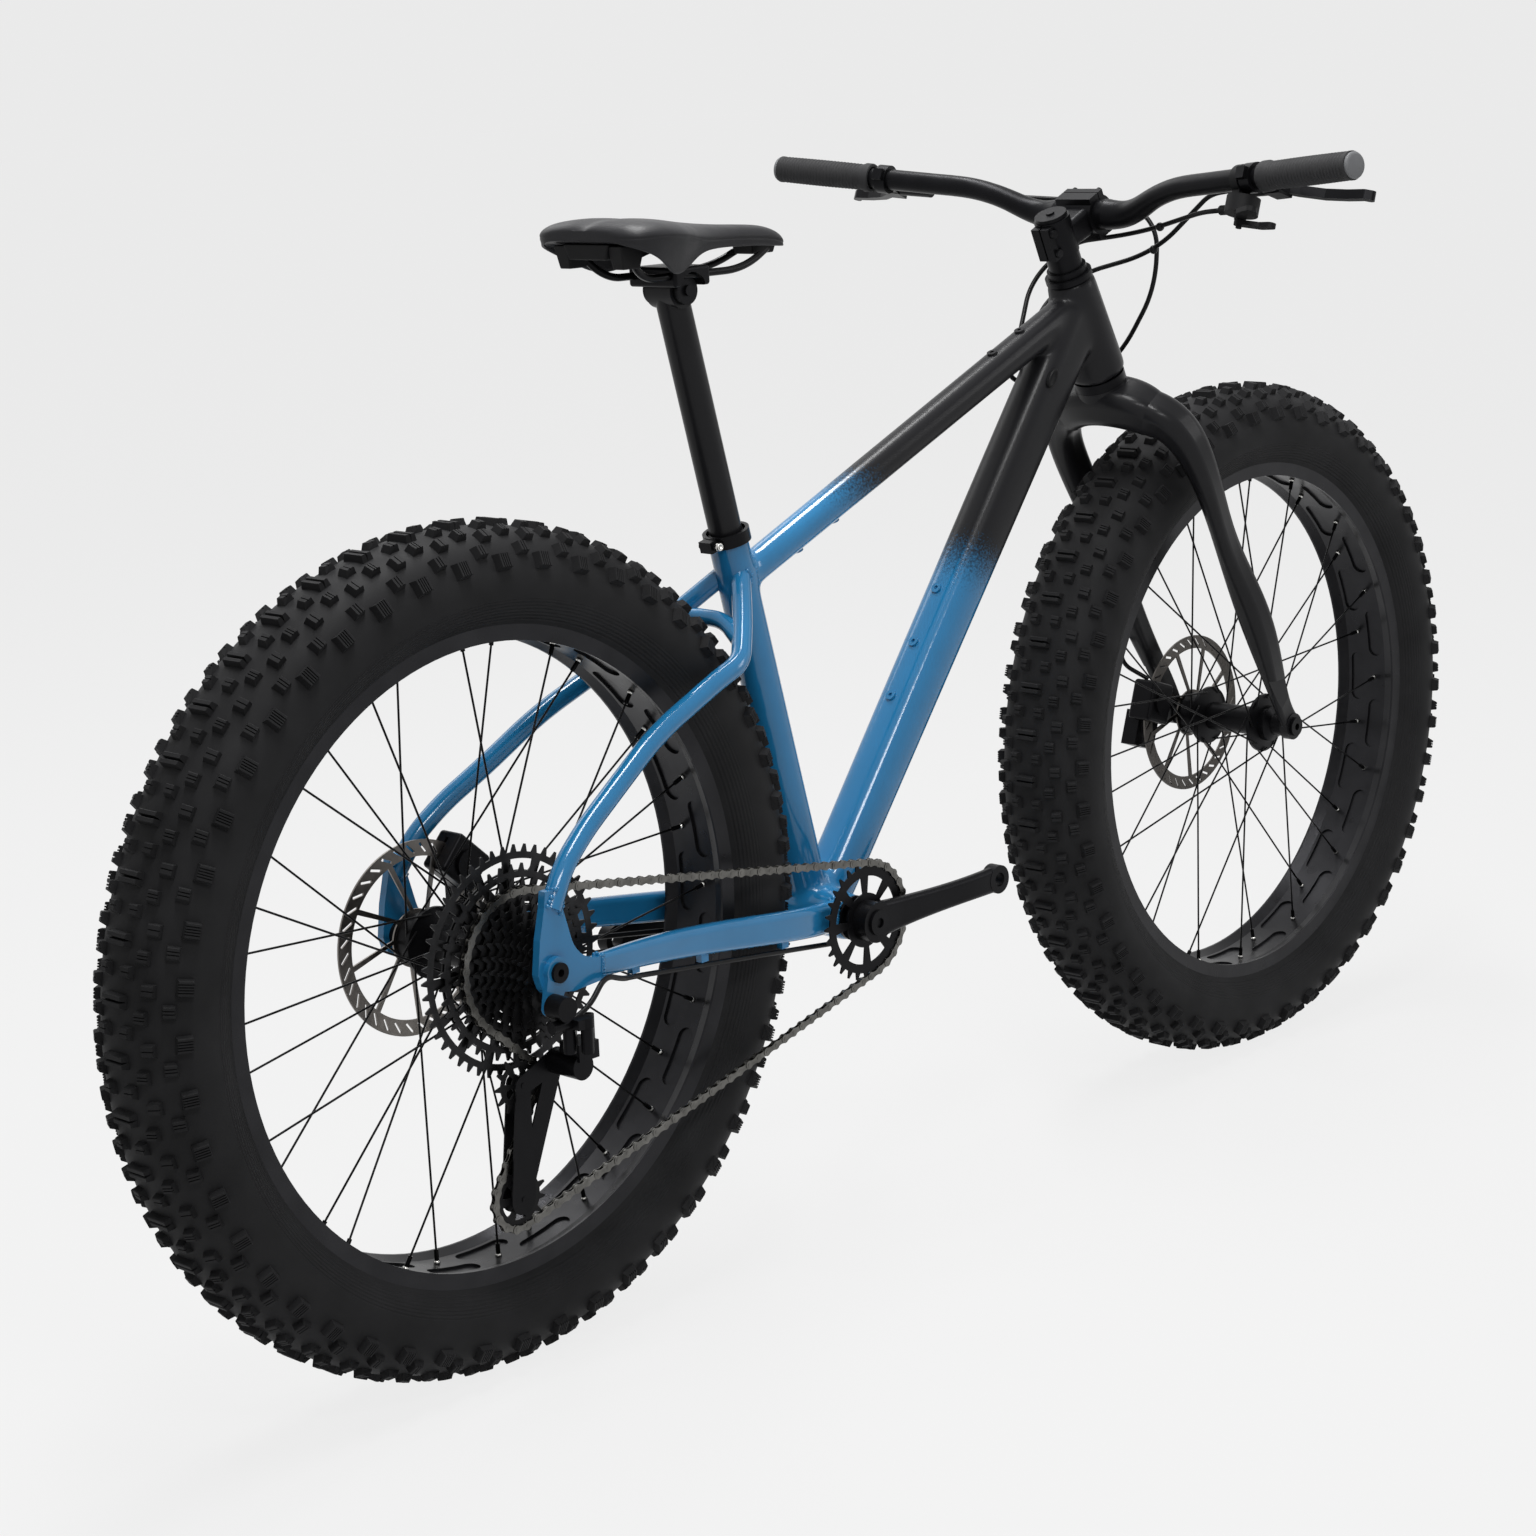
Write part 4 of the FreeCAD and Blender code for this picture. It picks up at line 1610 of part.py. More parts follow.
# Hoses and housing
LOW_STAY = [
    rear_run(0.07, -24.0, 58.0), rear_run(0.25, -22.0, TYRE_SIDE + 3.0), rear_run(0.52, -21.5,
        TYRE_SIDE + 12.5),
    rear_run(0.75, -19.0, HALF_REAR - 8.0),
]
housing = cord(LOW_STAY + [
    rear_run(0.82, -15.0, HALF_REAR + 9.5), rear_run(0.88, -8.0, HALF_REAR + 15.5),
    V(HANGER_BOLT.x + 34, B_ONE.y - 3, b_low + 14), V(HANGER_BOLT.x + 8.6, B_ONE.y - 3, b_low + 5.0),
], n.hose_radius)
housing = largest(housing.cut(nodes["derailleur_b_knuckle"].Shape))
hose_run = [V(p.x, -p.y, p.z) for p in LOW_STAY[:3]]
hose_run += [
    rear_run(0.66, -24.0, -(HALF_REAR - 14.0)), rear_run(0.73, -12.0, -(n.rear_rotor_y - 14.0)),
    rear_run(0.80, 28.0, -(n.rear_rotor_y - 8.0)),
    REAR_BRAKE + polar(n.rotor_radius - 8, REAR_BRAKE_AT - 17.8) + V(0, -8.0, 0),
]
rear_hose = cord(hose_run, n.hose_radius)
rear_hose = largest(rear_hose.cut(nodes["rear_caliper"].Shape))
node(feature_of("frame_cables", Part.Compound([housing, rear_hose])))

NOSE = at_grip(PIVOT_U - 60.6, 25.5)
NOSE_IN = at_grip(PIVOT_U - 92, 24.0, -2.0)
left_nose = V(NOSE.x, -NOSE.y, NOSE.z)
left_in = V(NOSE_IN.x, -NOSE_IN.y, NOSE_IN.z)
front_hose = cord([
    left_nose, left_in, steer(BAR_HEIGHT - 24, n.stem_length + 74, 28.0), steer(HEAD_TOP + 14,
    n.stem_length + 58, -46.0),
    steer(HEAD_TOP - 52, n.stem_length + 26, -44.0), steer(HEAD_LOW - 4, 54.0, 6.0),
    steer(half_fork + 6, 42.0, 64.0),
    steer(half_fork - 58, 36.0, blade_y + 22.0), steer(half_fork * 0.49, 34.0, blade_y + 21.5),
    steer(112.0, 34.0, blade_end_y + 24.0), steer(98.0, 2.0, blade_end_y + 16.0),
    FRONT_BRAKE + polar(n.rotor_radius - 4, FRONT_BRAKE_AT - 17.0) + V(0, 8.0, 0),
], n.hose_radius)
front_hose = largest(front_hose.cut(nodes["front_caliper"].Shape))
node(feature_of("front_brake_hose", front_hose))

PORT = DT_B + (DT_C - DT_B) * 0.66 + V(0, 24.6, 0)
shift_start = at_grip(SHIFT_U - 34.6, SHIFT_F + 8, -26)
shift_in = at_grip(SHIFT_U - 64, SHIFT_F + 10, -25)
shift_cord = cord([
    shift_start, shift_in, steer(HEAD_TOP + 24, 56.0, -62.0), steer(HEAD_TOP + 10, 58.0, 36.0),
    steer(HEAD_TOP - 10, 10.0, 62.0), steer(HEAD_TOP - 55, -62.0, 46.0), PORT + DT_UP * 22.0 + V(-20,
    16.0, 6),
    PORT + DT_UP * 8.0,
], n.hose_radius)
brake_cord = cord([
    NOSE, NOSE_IN, steer(HEAD_TOP - 2, 62.0, -68.0), steer(HEAD_TOP - 26, 58.0, 30.0),
    steer(HEAD_TOP - 36, 6.0, 54.0), steer(HEAD_TOP - 68, -52.0, 42.0), PORT - DT_UP * 4.0 + V(-26,
    12.0, 4),
    PORT - DT_UP * 14.0 + V(-8, 0, -6),
], n.hose_radius)
cord_ends = [largest(line.cut(nodes["down_tube"].Shape)) for line in (shift_cord, brake_cord)]
node(feature_of("control_cables", Part.Compound(cord_ends)))

# Bosses and cable clips
clips = list(bosses)
stay_solids = nodes["chainstays"].Shape
for share in (0.25, 0.52, 0.75):
    k = (0.25, 0.52, 0.75).index(share)
    spot = LOW_STAY[k + 1]
    for side in (-1, 1) if k < 2 else (-1,):
        clip = Part.makeBox(9, 7, 9, V(spot.x - 4.5, -side * spot.y - 3.5, spot.z + n.hose_radius + 1.2))
        clips.append(min(clip.cut(stay_solids).Solids, key=lambda solid: solid.CenterOfMass.z))
node(feature_of("frame_bosses", Part.Compound(clips)))

doc.recompute()
os.makedirs("parts", exist_ok=True)
for obj in doc.Objects:
    for state in obj.State:
        if state in ("Invalid", "Error"):
            raise RuntimeError(obj.Label + " is " + state)
for label, obj in nodes.items():
    shape = obj.Shape
    if shape.isNull() or not shape.isValid():
        raise RuntimeError(label + " has no valid shape")
for label, obj in nodes.items():
    obj.Shape.exportStep("parts/" + label + ".step")
    print(label, len(obj.Shape.Solids), round(obj.Shape.Volume / 1000.0, 2))
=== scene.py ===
import json
import logging
import math
from dataclasses import dataclass, field
from enum import Enum
from typing import Iterable, Optional, Sequence

import bmesh
import bpy
import numpy as np
from mathutils import Matrix, Vector
from mathutils.bvhtree import BVHTree

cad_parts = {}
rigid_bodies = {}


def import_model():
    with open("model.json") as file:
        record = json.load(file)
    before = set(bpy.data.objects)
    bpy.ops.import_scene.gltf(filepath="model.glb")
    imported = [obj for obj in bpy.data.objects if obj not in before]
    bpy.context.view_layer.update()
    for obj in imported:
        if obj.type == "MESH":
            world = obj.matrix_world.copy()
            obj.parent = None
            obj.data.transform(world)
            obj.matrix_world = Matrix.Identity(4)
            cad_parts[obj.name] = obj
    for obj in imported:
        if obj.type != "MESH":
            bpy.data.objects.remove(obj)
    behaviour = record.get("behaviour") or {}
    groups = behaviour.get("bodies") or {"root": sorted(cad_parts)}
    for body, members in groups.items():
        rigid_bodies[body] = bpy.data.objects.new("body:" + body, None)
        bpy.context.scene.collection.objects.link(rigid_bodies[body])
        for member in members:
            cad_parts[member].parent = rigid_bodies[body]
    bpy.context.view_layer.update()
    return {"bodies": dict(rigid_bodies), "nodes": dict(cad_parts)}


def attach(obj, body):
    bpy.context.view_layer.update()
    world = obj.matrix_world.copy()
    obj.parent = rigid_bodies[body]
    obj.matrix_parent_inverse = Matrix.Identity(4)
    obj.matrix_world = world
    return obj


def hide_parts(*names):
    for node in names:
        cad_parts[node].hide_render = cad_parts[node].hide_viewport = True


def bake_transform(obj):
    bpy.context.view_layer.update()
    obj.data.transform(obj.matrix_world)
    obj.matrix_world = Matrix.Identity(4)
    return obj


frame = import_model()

LOG = logging.getLogger("fat_tire_bike")
MM = 0.001
MERGE_M = 1e-6

Mesh = bpy.types.Mesh
Piece = bpy.types.Object
Socket = bpy.types.NodeSocket
Tree = bpy.types.NodeTree


# Small helpers


def linear(code: str) -> tuple[float, float, float, float]:
    """Turn an sRGB hex colour into linear light.

    Args:
        code: colour such as "#2f6da3".

    Returns:
        Red, green, blue and alpha, linear.
    """
    parts = [int(code[i:i + 2], 16) / 255 for i in (1, 3, 5)]
    light = [c / 12.92 if c <= 0.04045 else ((c + 0.055) / 1.055) ** 2.4 for c in parts]
    return (light[0], light[1], light[2], 1.0)


def shade(code: str, factor: float) -> tuple[float, float, float, float]:
    """Scale a hex colour's light.

    Args:
        code: sRGB hex colour.
        factor: multiplier on the linear values.

    Returns:
        Red, green, blue and alpha, linear.
    """
    red, green, blue, alpha = linear(code)
    return (min(red * factor, 1.0), min(green * factor, 1.0), min(blue * factor, 1.0), alpha)


def add(tree: Tree, kind: str, inputs: Optional[dict] = None, **settings) -> bpy.types.Node:
    """Add a node with its settings, values and links.

    Args:
        tree: node tree that takes the node.
        kind: node type.
        inputs: socket name or index to a value, or to the output socket that feeds it.
        settings: attributes of the node.

    Returns:
        The new node.
    """
    node = tree.nodes.new(kind)
    for key, value in settings.items():
        setattr(node, key, value)
    for key, value in (inputs or {}).items():
        if isinstance(value, Socket):
            tree.links.new(value, node.inputs[key])
        else:
            node.inputs[key].default_value = value
    return node


def make_object(name: str, mesh: Mesh) -> Piece:
    """Put a mesh in the scene.

    Args:
        name: piece name.
        mesh: its mesh, placed in the row frame.

    Returns:
        The new object, at the origin.
    """
    mesh.name = name
    obj = bpy.data.objects.new(name, mesh)
    bpy.context.scene.collection.objects.link(obj)
    return obj


def mesh_of(name: str, verts: Sequence, faces: Sequence, smooth: bool = True) -> Mesh:
    """Make a mesh with outward faces.

    Args:
        name: mesh name.
        verts: corner points in metres.
        faces: rows of corner numbers.
        smooth: whether the faces shade smoothly.

    Returns:
        The mesh.
    """
    mesh = bpy.data.meshes.new(name)
    mesh.from_pydata([tuple(v) for v in verts], [], [tuple(f) for f in faces])
    work = bmesh.new()
    work.from_mesh(mesh)
    bmesh.ops.recalc_face_normals(work, faces=work.faces[:])
    work.to_mesh(mesh)
    work.free()
    for face in mesh.polygons:
        face.use_smooth = smooth
    return mesh


def bake(obj: Piece) -> Mesh:
    """Turn an object and its modifiers into a plain mesh.

    Args:
        obj: object with modifiers; it is removed.

    Returns:
        The evaluated mesh.
    """
    graph = bpy.context.evaluated_depsgraph_get()
    mesh = bpy.data.meshes.new_from_object(obj.evaluated_get(graph), depsgraph=graph)
    bpy.data.objects.remove(obj, do_unlink=True)
    return mesh


def soft_shaded(mesh: Mesh) -> Mesh:
    """Shade every face of a mesh smoothly."""
    for face in mesh.polygons:
        face.use_smooth = True
    return mesh


def mended(mesh: Mesh, merge: float = MERGE_M, slivers: bool = False) -> Mesh:
    """Merge doubled points and turn the faces outward.

    Args:
        mesh: mesh to repair in place.
        merge: distance under which points merge, in metres.
        slivers: whether faces without area are dissolved.

    Returns:
        The same mesh.
    """
    work = bmesh.new()
    work.from_mesh(mesh)
    bmesh.ops.remove_doubles(work, verts=work.verts[:], dist=merge)
    if slivers:
        bmesh.ops.dissolve_degenerate(work, dist=MERGE_M / 10, edges=work.edges[:])
    bmesh.ops.recalc_face_normals(work, faces=work.faces[:])
    work.to_mesh(mesh)
    work.free()
    return mesh


def facing(way: Vector) -> Matrix:
    """Turn that points a copy's own Z axis along a direction."""
    side = way.orthogonal().normalized()
    return Matrix((side, way.cross(side), way)).transposed()


def node_points(name: str) -> np.ndarray:
    """Corner points of a solid of the frame, in metres."""
    verts = frame["nodes"][name].data.vertices
    out = np.zeros(len(verts) * 3)
    verts.foreach_get("co", out)
    return out.reshape(-1, 3)


def copy_of(node: str) -> bmesh.types.BMesh:
    """Merged copy of a solid of the frame."""
    work = bmesh.new()
    work.from_mesh(frame["nodes"][node].data)
    bmesh.ops.remove_doubles(work, verts=work.verts[:], dist=MERGE_M)
    return work


def lathe(name: str, profile: Sequence, origin: Vector, axis: Vector, steps: int) -> Mesh:
    """Turn a profile round an axis.

    Args:
        name: mesh name.
        profile: pairs of distance along the axis and radius, in metres, closed if it ends where it starts.
        origin: point on the axis.
        axis: direction of the axis.
        steps: steps round the turn.

    Returns:
        The mesh.
    """
    axis = axis.normalized()
    side = axis.orthogonal().normalized()
    rise = axis.cross(side)
    count = len(profile)
    verts = []
    for k in range(steps):
        turn = 2 * math.pi * k / steps
        out = side * math.cos(turn) + rise * math.sin(turn)
        verts += [origin + axis * u + out * r for u, r in profile]
    faces = []
    for k in range(steps):
        a = k * count
        b = ((k + 1) % steps) * count
        faces += [(a + i, a + i + 1, b + i + 1, b + i) for i in range(count - 1)]
    return soft_shaded(mended(mesh_of(name, verts, faces), 2 * MERGE_M))


def dress(piece: Piece, finish: "Finish") -> Piece:
    """Give a piece one finish on its material slots."""
    material = finish.material()
    if not piece.data.materials:
        piece.data.materials.append(material)
    for slot in piece.material_slots:
        slot.material = material
    return piece


def dress_nodes(finishes: dict[str, "Finish"]) -> None:
    """Give solids of the frame their finishes.

    Args:
        finishes: finish of each node, by name.
    """
    for name, finish in finishes.items():
        dress(frame["nodes"][name], finish)


def in_metres(profile: Sequence[tuple[float, float]]) -> list[tuple[float, float]]:
    """Turn an outline in mm into metres."""
    return [(along * MM, radius * MM) for along, radius in profile]


# Finishes


@dataclass(frozen=True)
class Finish:
    """A finish with colour drift, a fine grain and uneven gloss.

    The grain is drawn a little coarser than the real one so that it shows at the size of the picture.
    """

    name: str
    colour: str
    rough: float
    metal: float = 0.0
    coat: float = 0.0
    coat_rough: float = 0.13
    grain_mm: float = 1.2
    grain_depth_mm: float = 0.05
    drift: float = 0.18
    drift_mm: float = 45.0
    uneven: float = 0.08
    shine: float = 0.11

    def material(self) -> bpy.types.Material:
        """The material, made on first use."""
        made = bpy.data.materials.get(self.name)
        if made:
            return made
        made = bpy.data.materials.new(self.name)
        made.use_nodes = True
        tree = made.node_tree
        tree.nodes.clear()
        shader = add(tree, "ShaderNodeBsdfPrincipled", {
            "Metallic": self.metal, "Coat Weight": self.coat, "Coat Roughness": self.coat_rough,
            "Specular IOR Level": self.shine,
        })
        add(tree, "ShaderNodeOutputMaterial", {"Surface": shader.outputs["BSDF"]})
        place = add(tree, "ShaderNodeTexCoord").outputs["Object"]
        tree.links.new(self.tone(tree, place), shader.inputs["Base Color"])
        tree.links.new(self.gloss(tree, place), shader.inputs["Roughness"])
        tree.links.new(self.relief(tree, place), shader.inputs["Normal"])
        self.finish(tree, place, shader)
        return made

    def finish(self, tree: Tree, place: Socket, shader: bpy.types.Node) -> None:
        """Anything more that a kind of finish sets on its shader."""

    def tone(self, tree: Tree, place: Socket) -> Socket:
        """Colour that drifts a little from spot to spot."""
        cloud = add(tree, "ShaderNodeTexNoise", {
            "Vector": place, "Scale": 1000 / self.drift_mm, "Detail": 4.0,
        })
        ramp = add(tree, "ShaderNodeValToRGB", {"Fac": cloud.outputs["Fac"]})
        for stop, position, sign in zip(ramp.color_ramp.elements, (0.3, 0.7), (-1, 1)):
            stop.position = position
            stop.color = shade(self.colour, 1 + sign * self.drift)
        return ramp.outputs["Color"]

    def gloss(self, tree: Tree, place: Socket) -> Socket:
        """Roughness that varies a little."""
        cloud = add(tree, "ShaderNodeTexNoise", {"Vector": place, "Scale": 1000 / (self.drift_mm * 0.4)})
        return add(tree, "ShaderNodeMapRange", {
            "Value": cloud.outputs["Fac"], "To Min": max(0.03, self.rough - self.uneven),
            "To Max": min(1.0, self.rough + self.uneven),
        }).outputs["Result"]

    def relief(self, tree: Tree, place: Socket) -> Socket:
        """Fine grain of the surface."""
        grit = add(tree, "ShaderNodeTexNoise", {
            "Vector": place, "Scale": 1000 / self.grain_mm, "Detail": 3.0,
        })
        return add(tree, "ShaderNodeBump", {
            "Height": grit.outputs["Fac"], "Strength": 0.6, "Distance": self.grain_depth_mm * MM,
        }).outputs["Normal"]


@dataclass(frozen=True)
class FadedPaint(Finish):
    """Sprayed enamel that runs from gloss blue to satin black further forward, through a fine mist."""

    black: str = "#1c1c1e"
    dull_coat: float = 0.05
    dull_rough: float = 0.18
    mist_mm: float = 2.2
    mist_throw: float = 0.07
    along: tuple = (0.496, 0.0, 0.868)
    blue_until: float = 0.566
    black_from: float = 0.631

    def share(self, tree: Tree, place: Socket) -> Socket:
        """How black the paint is, from 0 to 1."""
        reach = add(tree, "ShaderNodeVectorMath", {0: place, 1: self.along}, operation="DOT_PRODUCT")
        mist = add(tree, "ShaderNodeTexNoise", {"Vector": place, "Scale": 1000 / self.mist_mm, "Detail": 2.0})
        spray = add(tree, "ShaderNodeMath", {0: mist.outputs["Fac"], 1: 0.5}, operation="SUBTRACT")
        thrown = add(tree, "ShaderNodeMath", {
            0: spray.outputs["Value"], 1: self.mist_throw, 2: reach.outputs["Value"],
        }, operation="MULTIPLY_ADD")
        return add(tree, "ShaderNodeMapRange", {
            "Value": thrown.outputs["Value"], "From Min": self.blue_until, "From Max": self.black_from,
        }, interpolation_type="SMOOTHSTEP").outputs["Result"]

    def tone(self, tree: Tree, place: Socket) -> Socket:
        """Blue paint with the black mist over it."""
        blue = super().tone(tree, place)
        colour_a, colour_b, colour_out = 6, 7, 2
        mix = add(tree, "ShaderNodeMix", {
            "Factor": self.share(tree, place), colour_a: blue, colour_b: linear(self.black),
        }, data_type="RGBA")
        return mix.outputs[colour_out]

    def gloss(self, tree: Tree, place: Socket) -> Socket:
        """Glossier in the blue than in the black."""
        return add(tree, "ShaderNodeMapRange", {
            "Value": self.share(tree, place), "To Min": self.rough, "To Max": self.rough + self.dull_rough,
        }).outputs["Result"]

    def finish(self, tree: Tree, place: Socket, shader: bpy.types.Node) -> None:
        """Clear coat that thins out where the paint turns black."""
        coat = add(tree, "ShaderNodeMapRange", {
            "Value": self.share(tree, place), "To Min": self.coat, "To Max": self.dull_coat,
        })
        tree.links.new(coat.outputs["Result"], shader.inputs["Coat Weight"])


@dataclass(frozen=True)
class TurnedFinish(Finish):
    """A finish with fine rings round an axle, as on moulded rubber or a ground disc."""

    centre: tuple = (0.0, 0.0, 0.0)
    ring_mm: float = 2.4
    ring_depth_mm: float = 0.25
    inner: float = 0.0
    outer: float = 1.0

    def relief(self, tree: Tree, place: Socket) -> Socket:
        """Rings between two radii over the grain."""
        grain = super().relief(tree, place)
        arm = add(tree, "ShaderNodeVectorMath", {0: place, 1: self.centre}, operation="SUBTRACT")
        flat = add(tree, "ShaderNodeVectorMath", {
            0: arm.outputs["Vector"], 1: (1, 0, 1),
        }, operation="MULTIPLY")
        length = add(tree, "ShaderNodeVectorMath", {0: flat.outputs["Vector"]}, operation="LENGTH")
        reach = length.outputs["Value"]
        wave_number = 2 * math.pi * 1000 / self.ring_mm
        turns = add(tree, "ShaderNodeMath", {0: reach, 1: wave_number}, operation="MULTIPLY")
        wave = add(tree, "ShaderNodeMath", {0: turns.outputs["Value"]}, operation="SINE")
        start = add(tree, "ShaderNodeMath", {0: reach, 1: self.inner}, operation="GREATER_THAN")
        stop = add(tree, "ShaderNodeMath", {0: reach, 1: self.outer}, operation="LESS_THAN")
        inside = add(tree, "ShaderNodeMath", {
            0: start.outputs["Value"], 1: stop.outputs["Value"],
        }, operation="MULTIPLY")
        rings = add(tree, "ShaderNodeMath", {
            0: wave.outputs["Value"], 1: inside.outputs["Value"],
        }, operation="MULTIPLY")
        return add(tree, "ShaderNodeBump", {
            "Height": rings.outputs["Value"], "Normal": grain, "Strength": 0.7,
            "Distance": self.ring_depth_mm * MM,
        }).outputs["Normal"]


@dataclass(frozen=True)
class GrainedCover(Finish):
    """Stretched synthetic leather: small pebbles with smooth valleys."""

    pebble_mm: float = 1.8
    pebble_depth_mm: float = 0.25

    def relief(self, tree: Tree, place: Socket) -> Socket:
        """Pebbles over the grain."""
        grain = super().relief(tree, place)
        cells = add(tree, "ShaderNodeTexVoronoi", {"Vector": place, "Scale": 1000 / self.pebble_mm})
        return add(tree, "ShaderNodeBump", {
            "Height": cells.outputs["Distance"], "Normal": grain, "Strength": 0.35,
            "Distance": self.pebble_depth_mm * MM,
        }, invert=True).outputs["Normal"]


FRONT = Vector((0.583, 0.0, 0.384))
REAR = Vector((-0.583, 0.0, 0.384))

# Sprayed enamel over aluminium: mirror-like clear coat over blue that mists to black
PAINT = FadedPaint("enamel_blue_to_black", "#1f6f9f", 0.14, coat=0.7, grain_mm=1.6, grain_depth_mm=0.003,
                   drift=0.05)
# Anodised aluminium: dark, slightly metallic, soft highlights
ANODISED = Finish("anodised_black_aluminium", "#151517", 0.36, metal=0.5, grain_mm=0.8, grain_depth_mm=0.02)
# Satin black enamel on fork and post: even soft gloss
BLACK_ENAMEL = Finish("black_satin_enamel", "#1a1a1c", 0.34, coat=0.08, grain_mm=1.4, grain_depth_mm=0.015,
                      drift=0.1)
# Forged and anodised rims: darker, finely blasted
RIM_BLACK = Finish("blasted_black_rim", "#2b2b2d", 0.3, metal=0.7, grain_mm=0.7, grain_depth_mm=0.03)
# Drawn steel wire under black oxide: thin dark lines with a narrow glint
WIRE_BLACK = Finish("black_oxide_wire", "#141415", 0.3, metal=0.6, grain_mm=0.9, grain_depth_mm=0.01)
# Nickel plate: bright, near mirror
NICKEL = Finish("nickel_plate", "#c9c8c4", 0.22, metal=1.0, grain_mm=0.6, grain_depth_mm=0.01, drift=0.06)
# Oiled chain steel: grey, rubbed plates
CHAIN_STEEL = Finish("oiled_chain_steel", "#666562", 0.3, metal=1.0, grain_mm=0.8, grain_depth_mm=0.03,
                     drift=0.25, drift_mm=9.0)
# Black oxide steel of the sprockets, rubbed lighter in patches
COG_STEEL = Finish("black_oxide_cog", "#2a2a2b", 0.36, metal=0.8, grain_mm=0.9, grain_depth_mm=0.02,
                   drift=0.3, drift_mm=14.0)
# Moulded nylon: dull with a fine spark texture
NYLON = Finish("moulded_black_nylon", "#151516", 0.52, grain_mm=0.9, grain_depth_mm=0.06, drift=0.1)
# Soft rubber of the grips: dull charcoal, no clear highlight
GRIP_RUBBER = Finish("soft_grip_rubber", "#323233", 0.68, grain_mm=0.9, grain_depth_mm=0.12, drift=0.12)
# Moulded plug at the bar end: plain mid grey with a soft sheen
PLUG_GREY = Finish("moulded_grey_plug", "#6d6e70", 0.5, grain_mm=0.9, grain_depth_mm=0.05, drift=0.08)
# Extruded sleeve of cable housing: smooth black with a thin bright line
SLEEVE = Finish("extruded_black_sleeve", "#161617", 0.32, grain_mm=1.5, grain_depth_mm=0.02, drift=0.08)
# Brake pad compound: brown grey, crumbly
PAD = Finish("brake_pad_compound", "#4a433d", 0.85, grain_mm=0.8, grain_depth_mm=0.2, drift=0.3, drift_mm=3.0)
# Saddle cover of synthetic leather: dark, pebbled, with a broad soft sheen
COVER = GrainedCover("synthetic_leather_cover", "#29292b", 0.4, grain_mm=0.8, grain_depth_mm=0.05, drift=0.12)


def tyre_rubber(name: str, centre: Vector) -> TurnedFinish:
    """Black tyre rubber with moulded rings low on its sides."""
    return TurnedFinish(name, "#212122", 0.6, grain_mm=1.1, grain_depth_mm=0.12, drift=0.2, drift_mm=60.0,
                        centre=tuple(centre), ring_mm=3.0, ring_depth_mm=0.4, inner=0.298, outer=0.318,
                        shine=0.08)


def ground_disc(name: str, centre: Vector, colour: str) -> TurnedFinish:
    """Ground stainless steel with fine rings from the pads."""
    return TurnedFinish(name, colour, 0.34, metal=1.0, grain_mm=0.8, grain_depth_mm=0.02, drift=0.12,
                        drift_mm=12.0, centre=tuple(centre), ring_mm=0.9, ring_depth_mm=0.05, inner=0.06,
                        outer=0.1)


# Repeats by Geometry Nodes


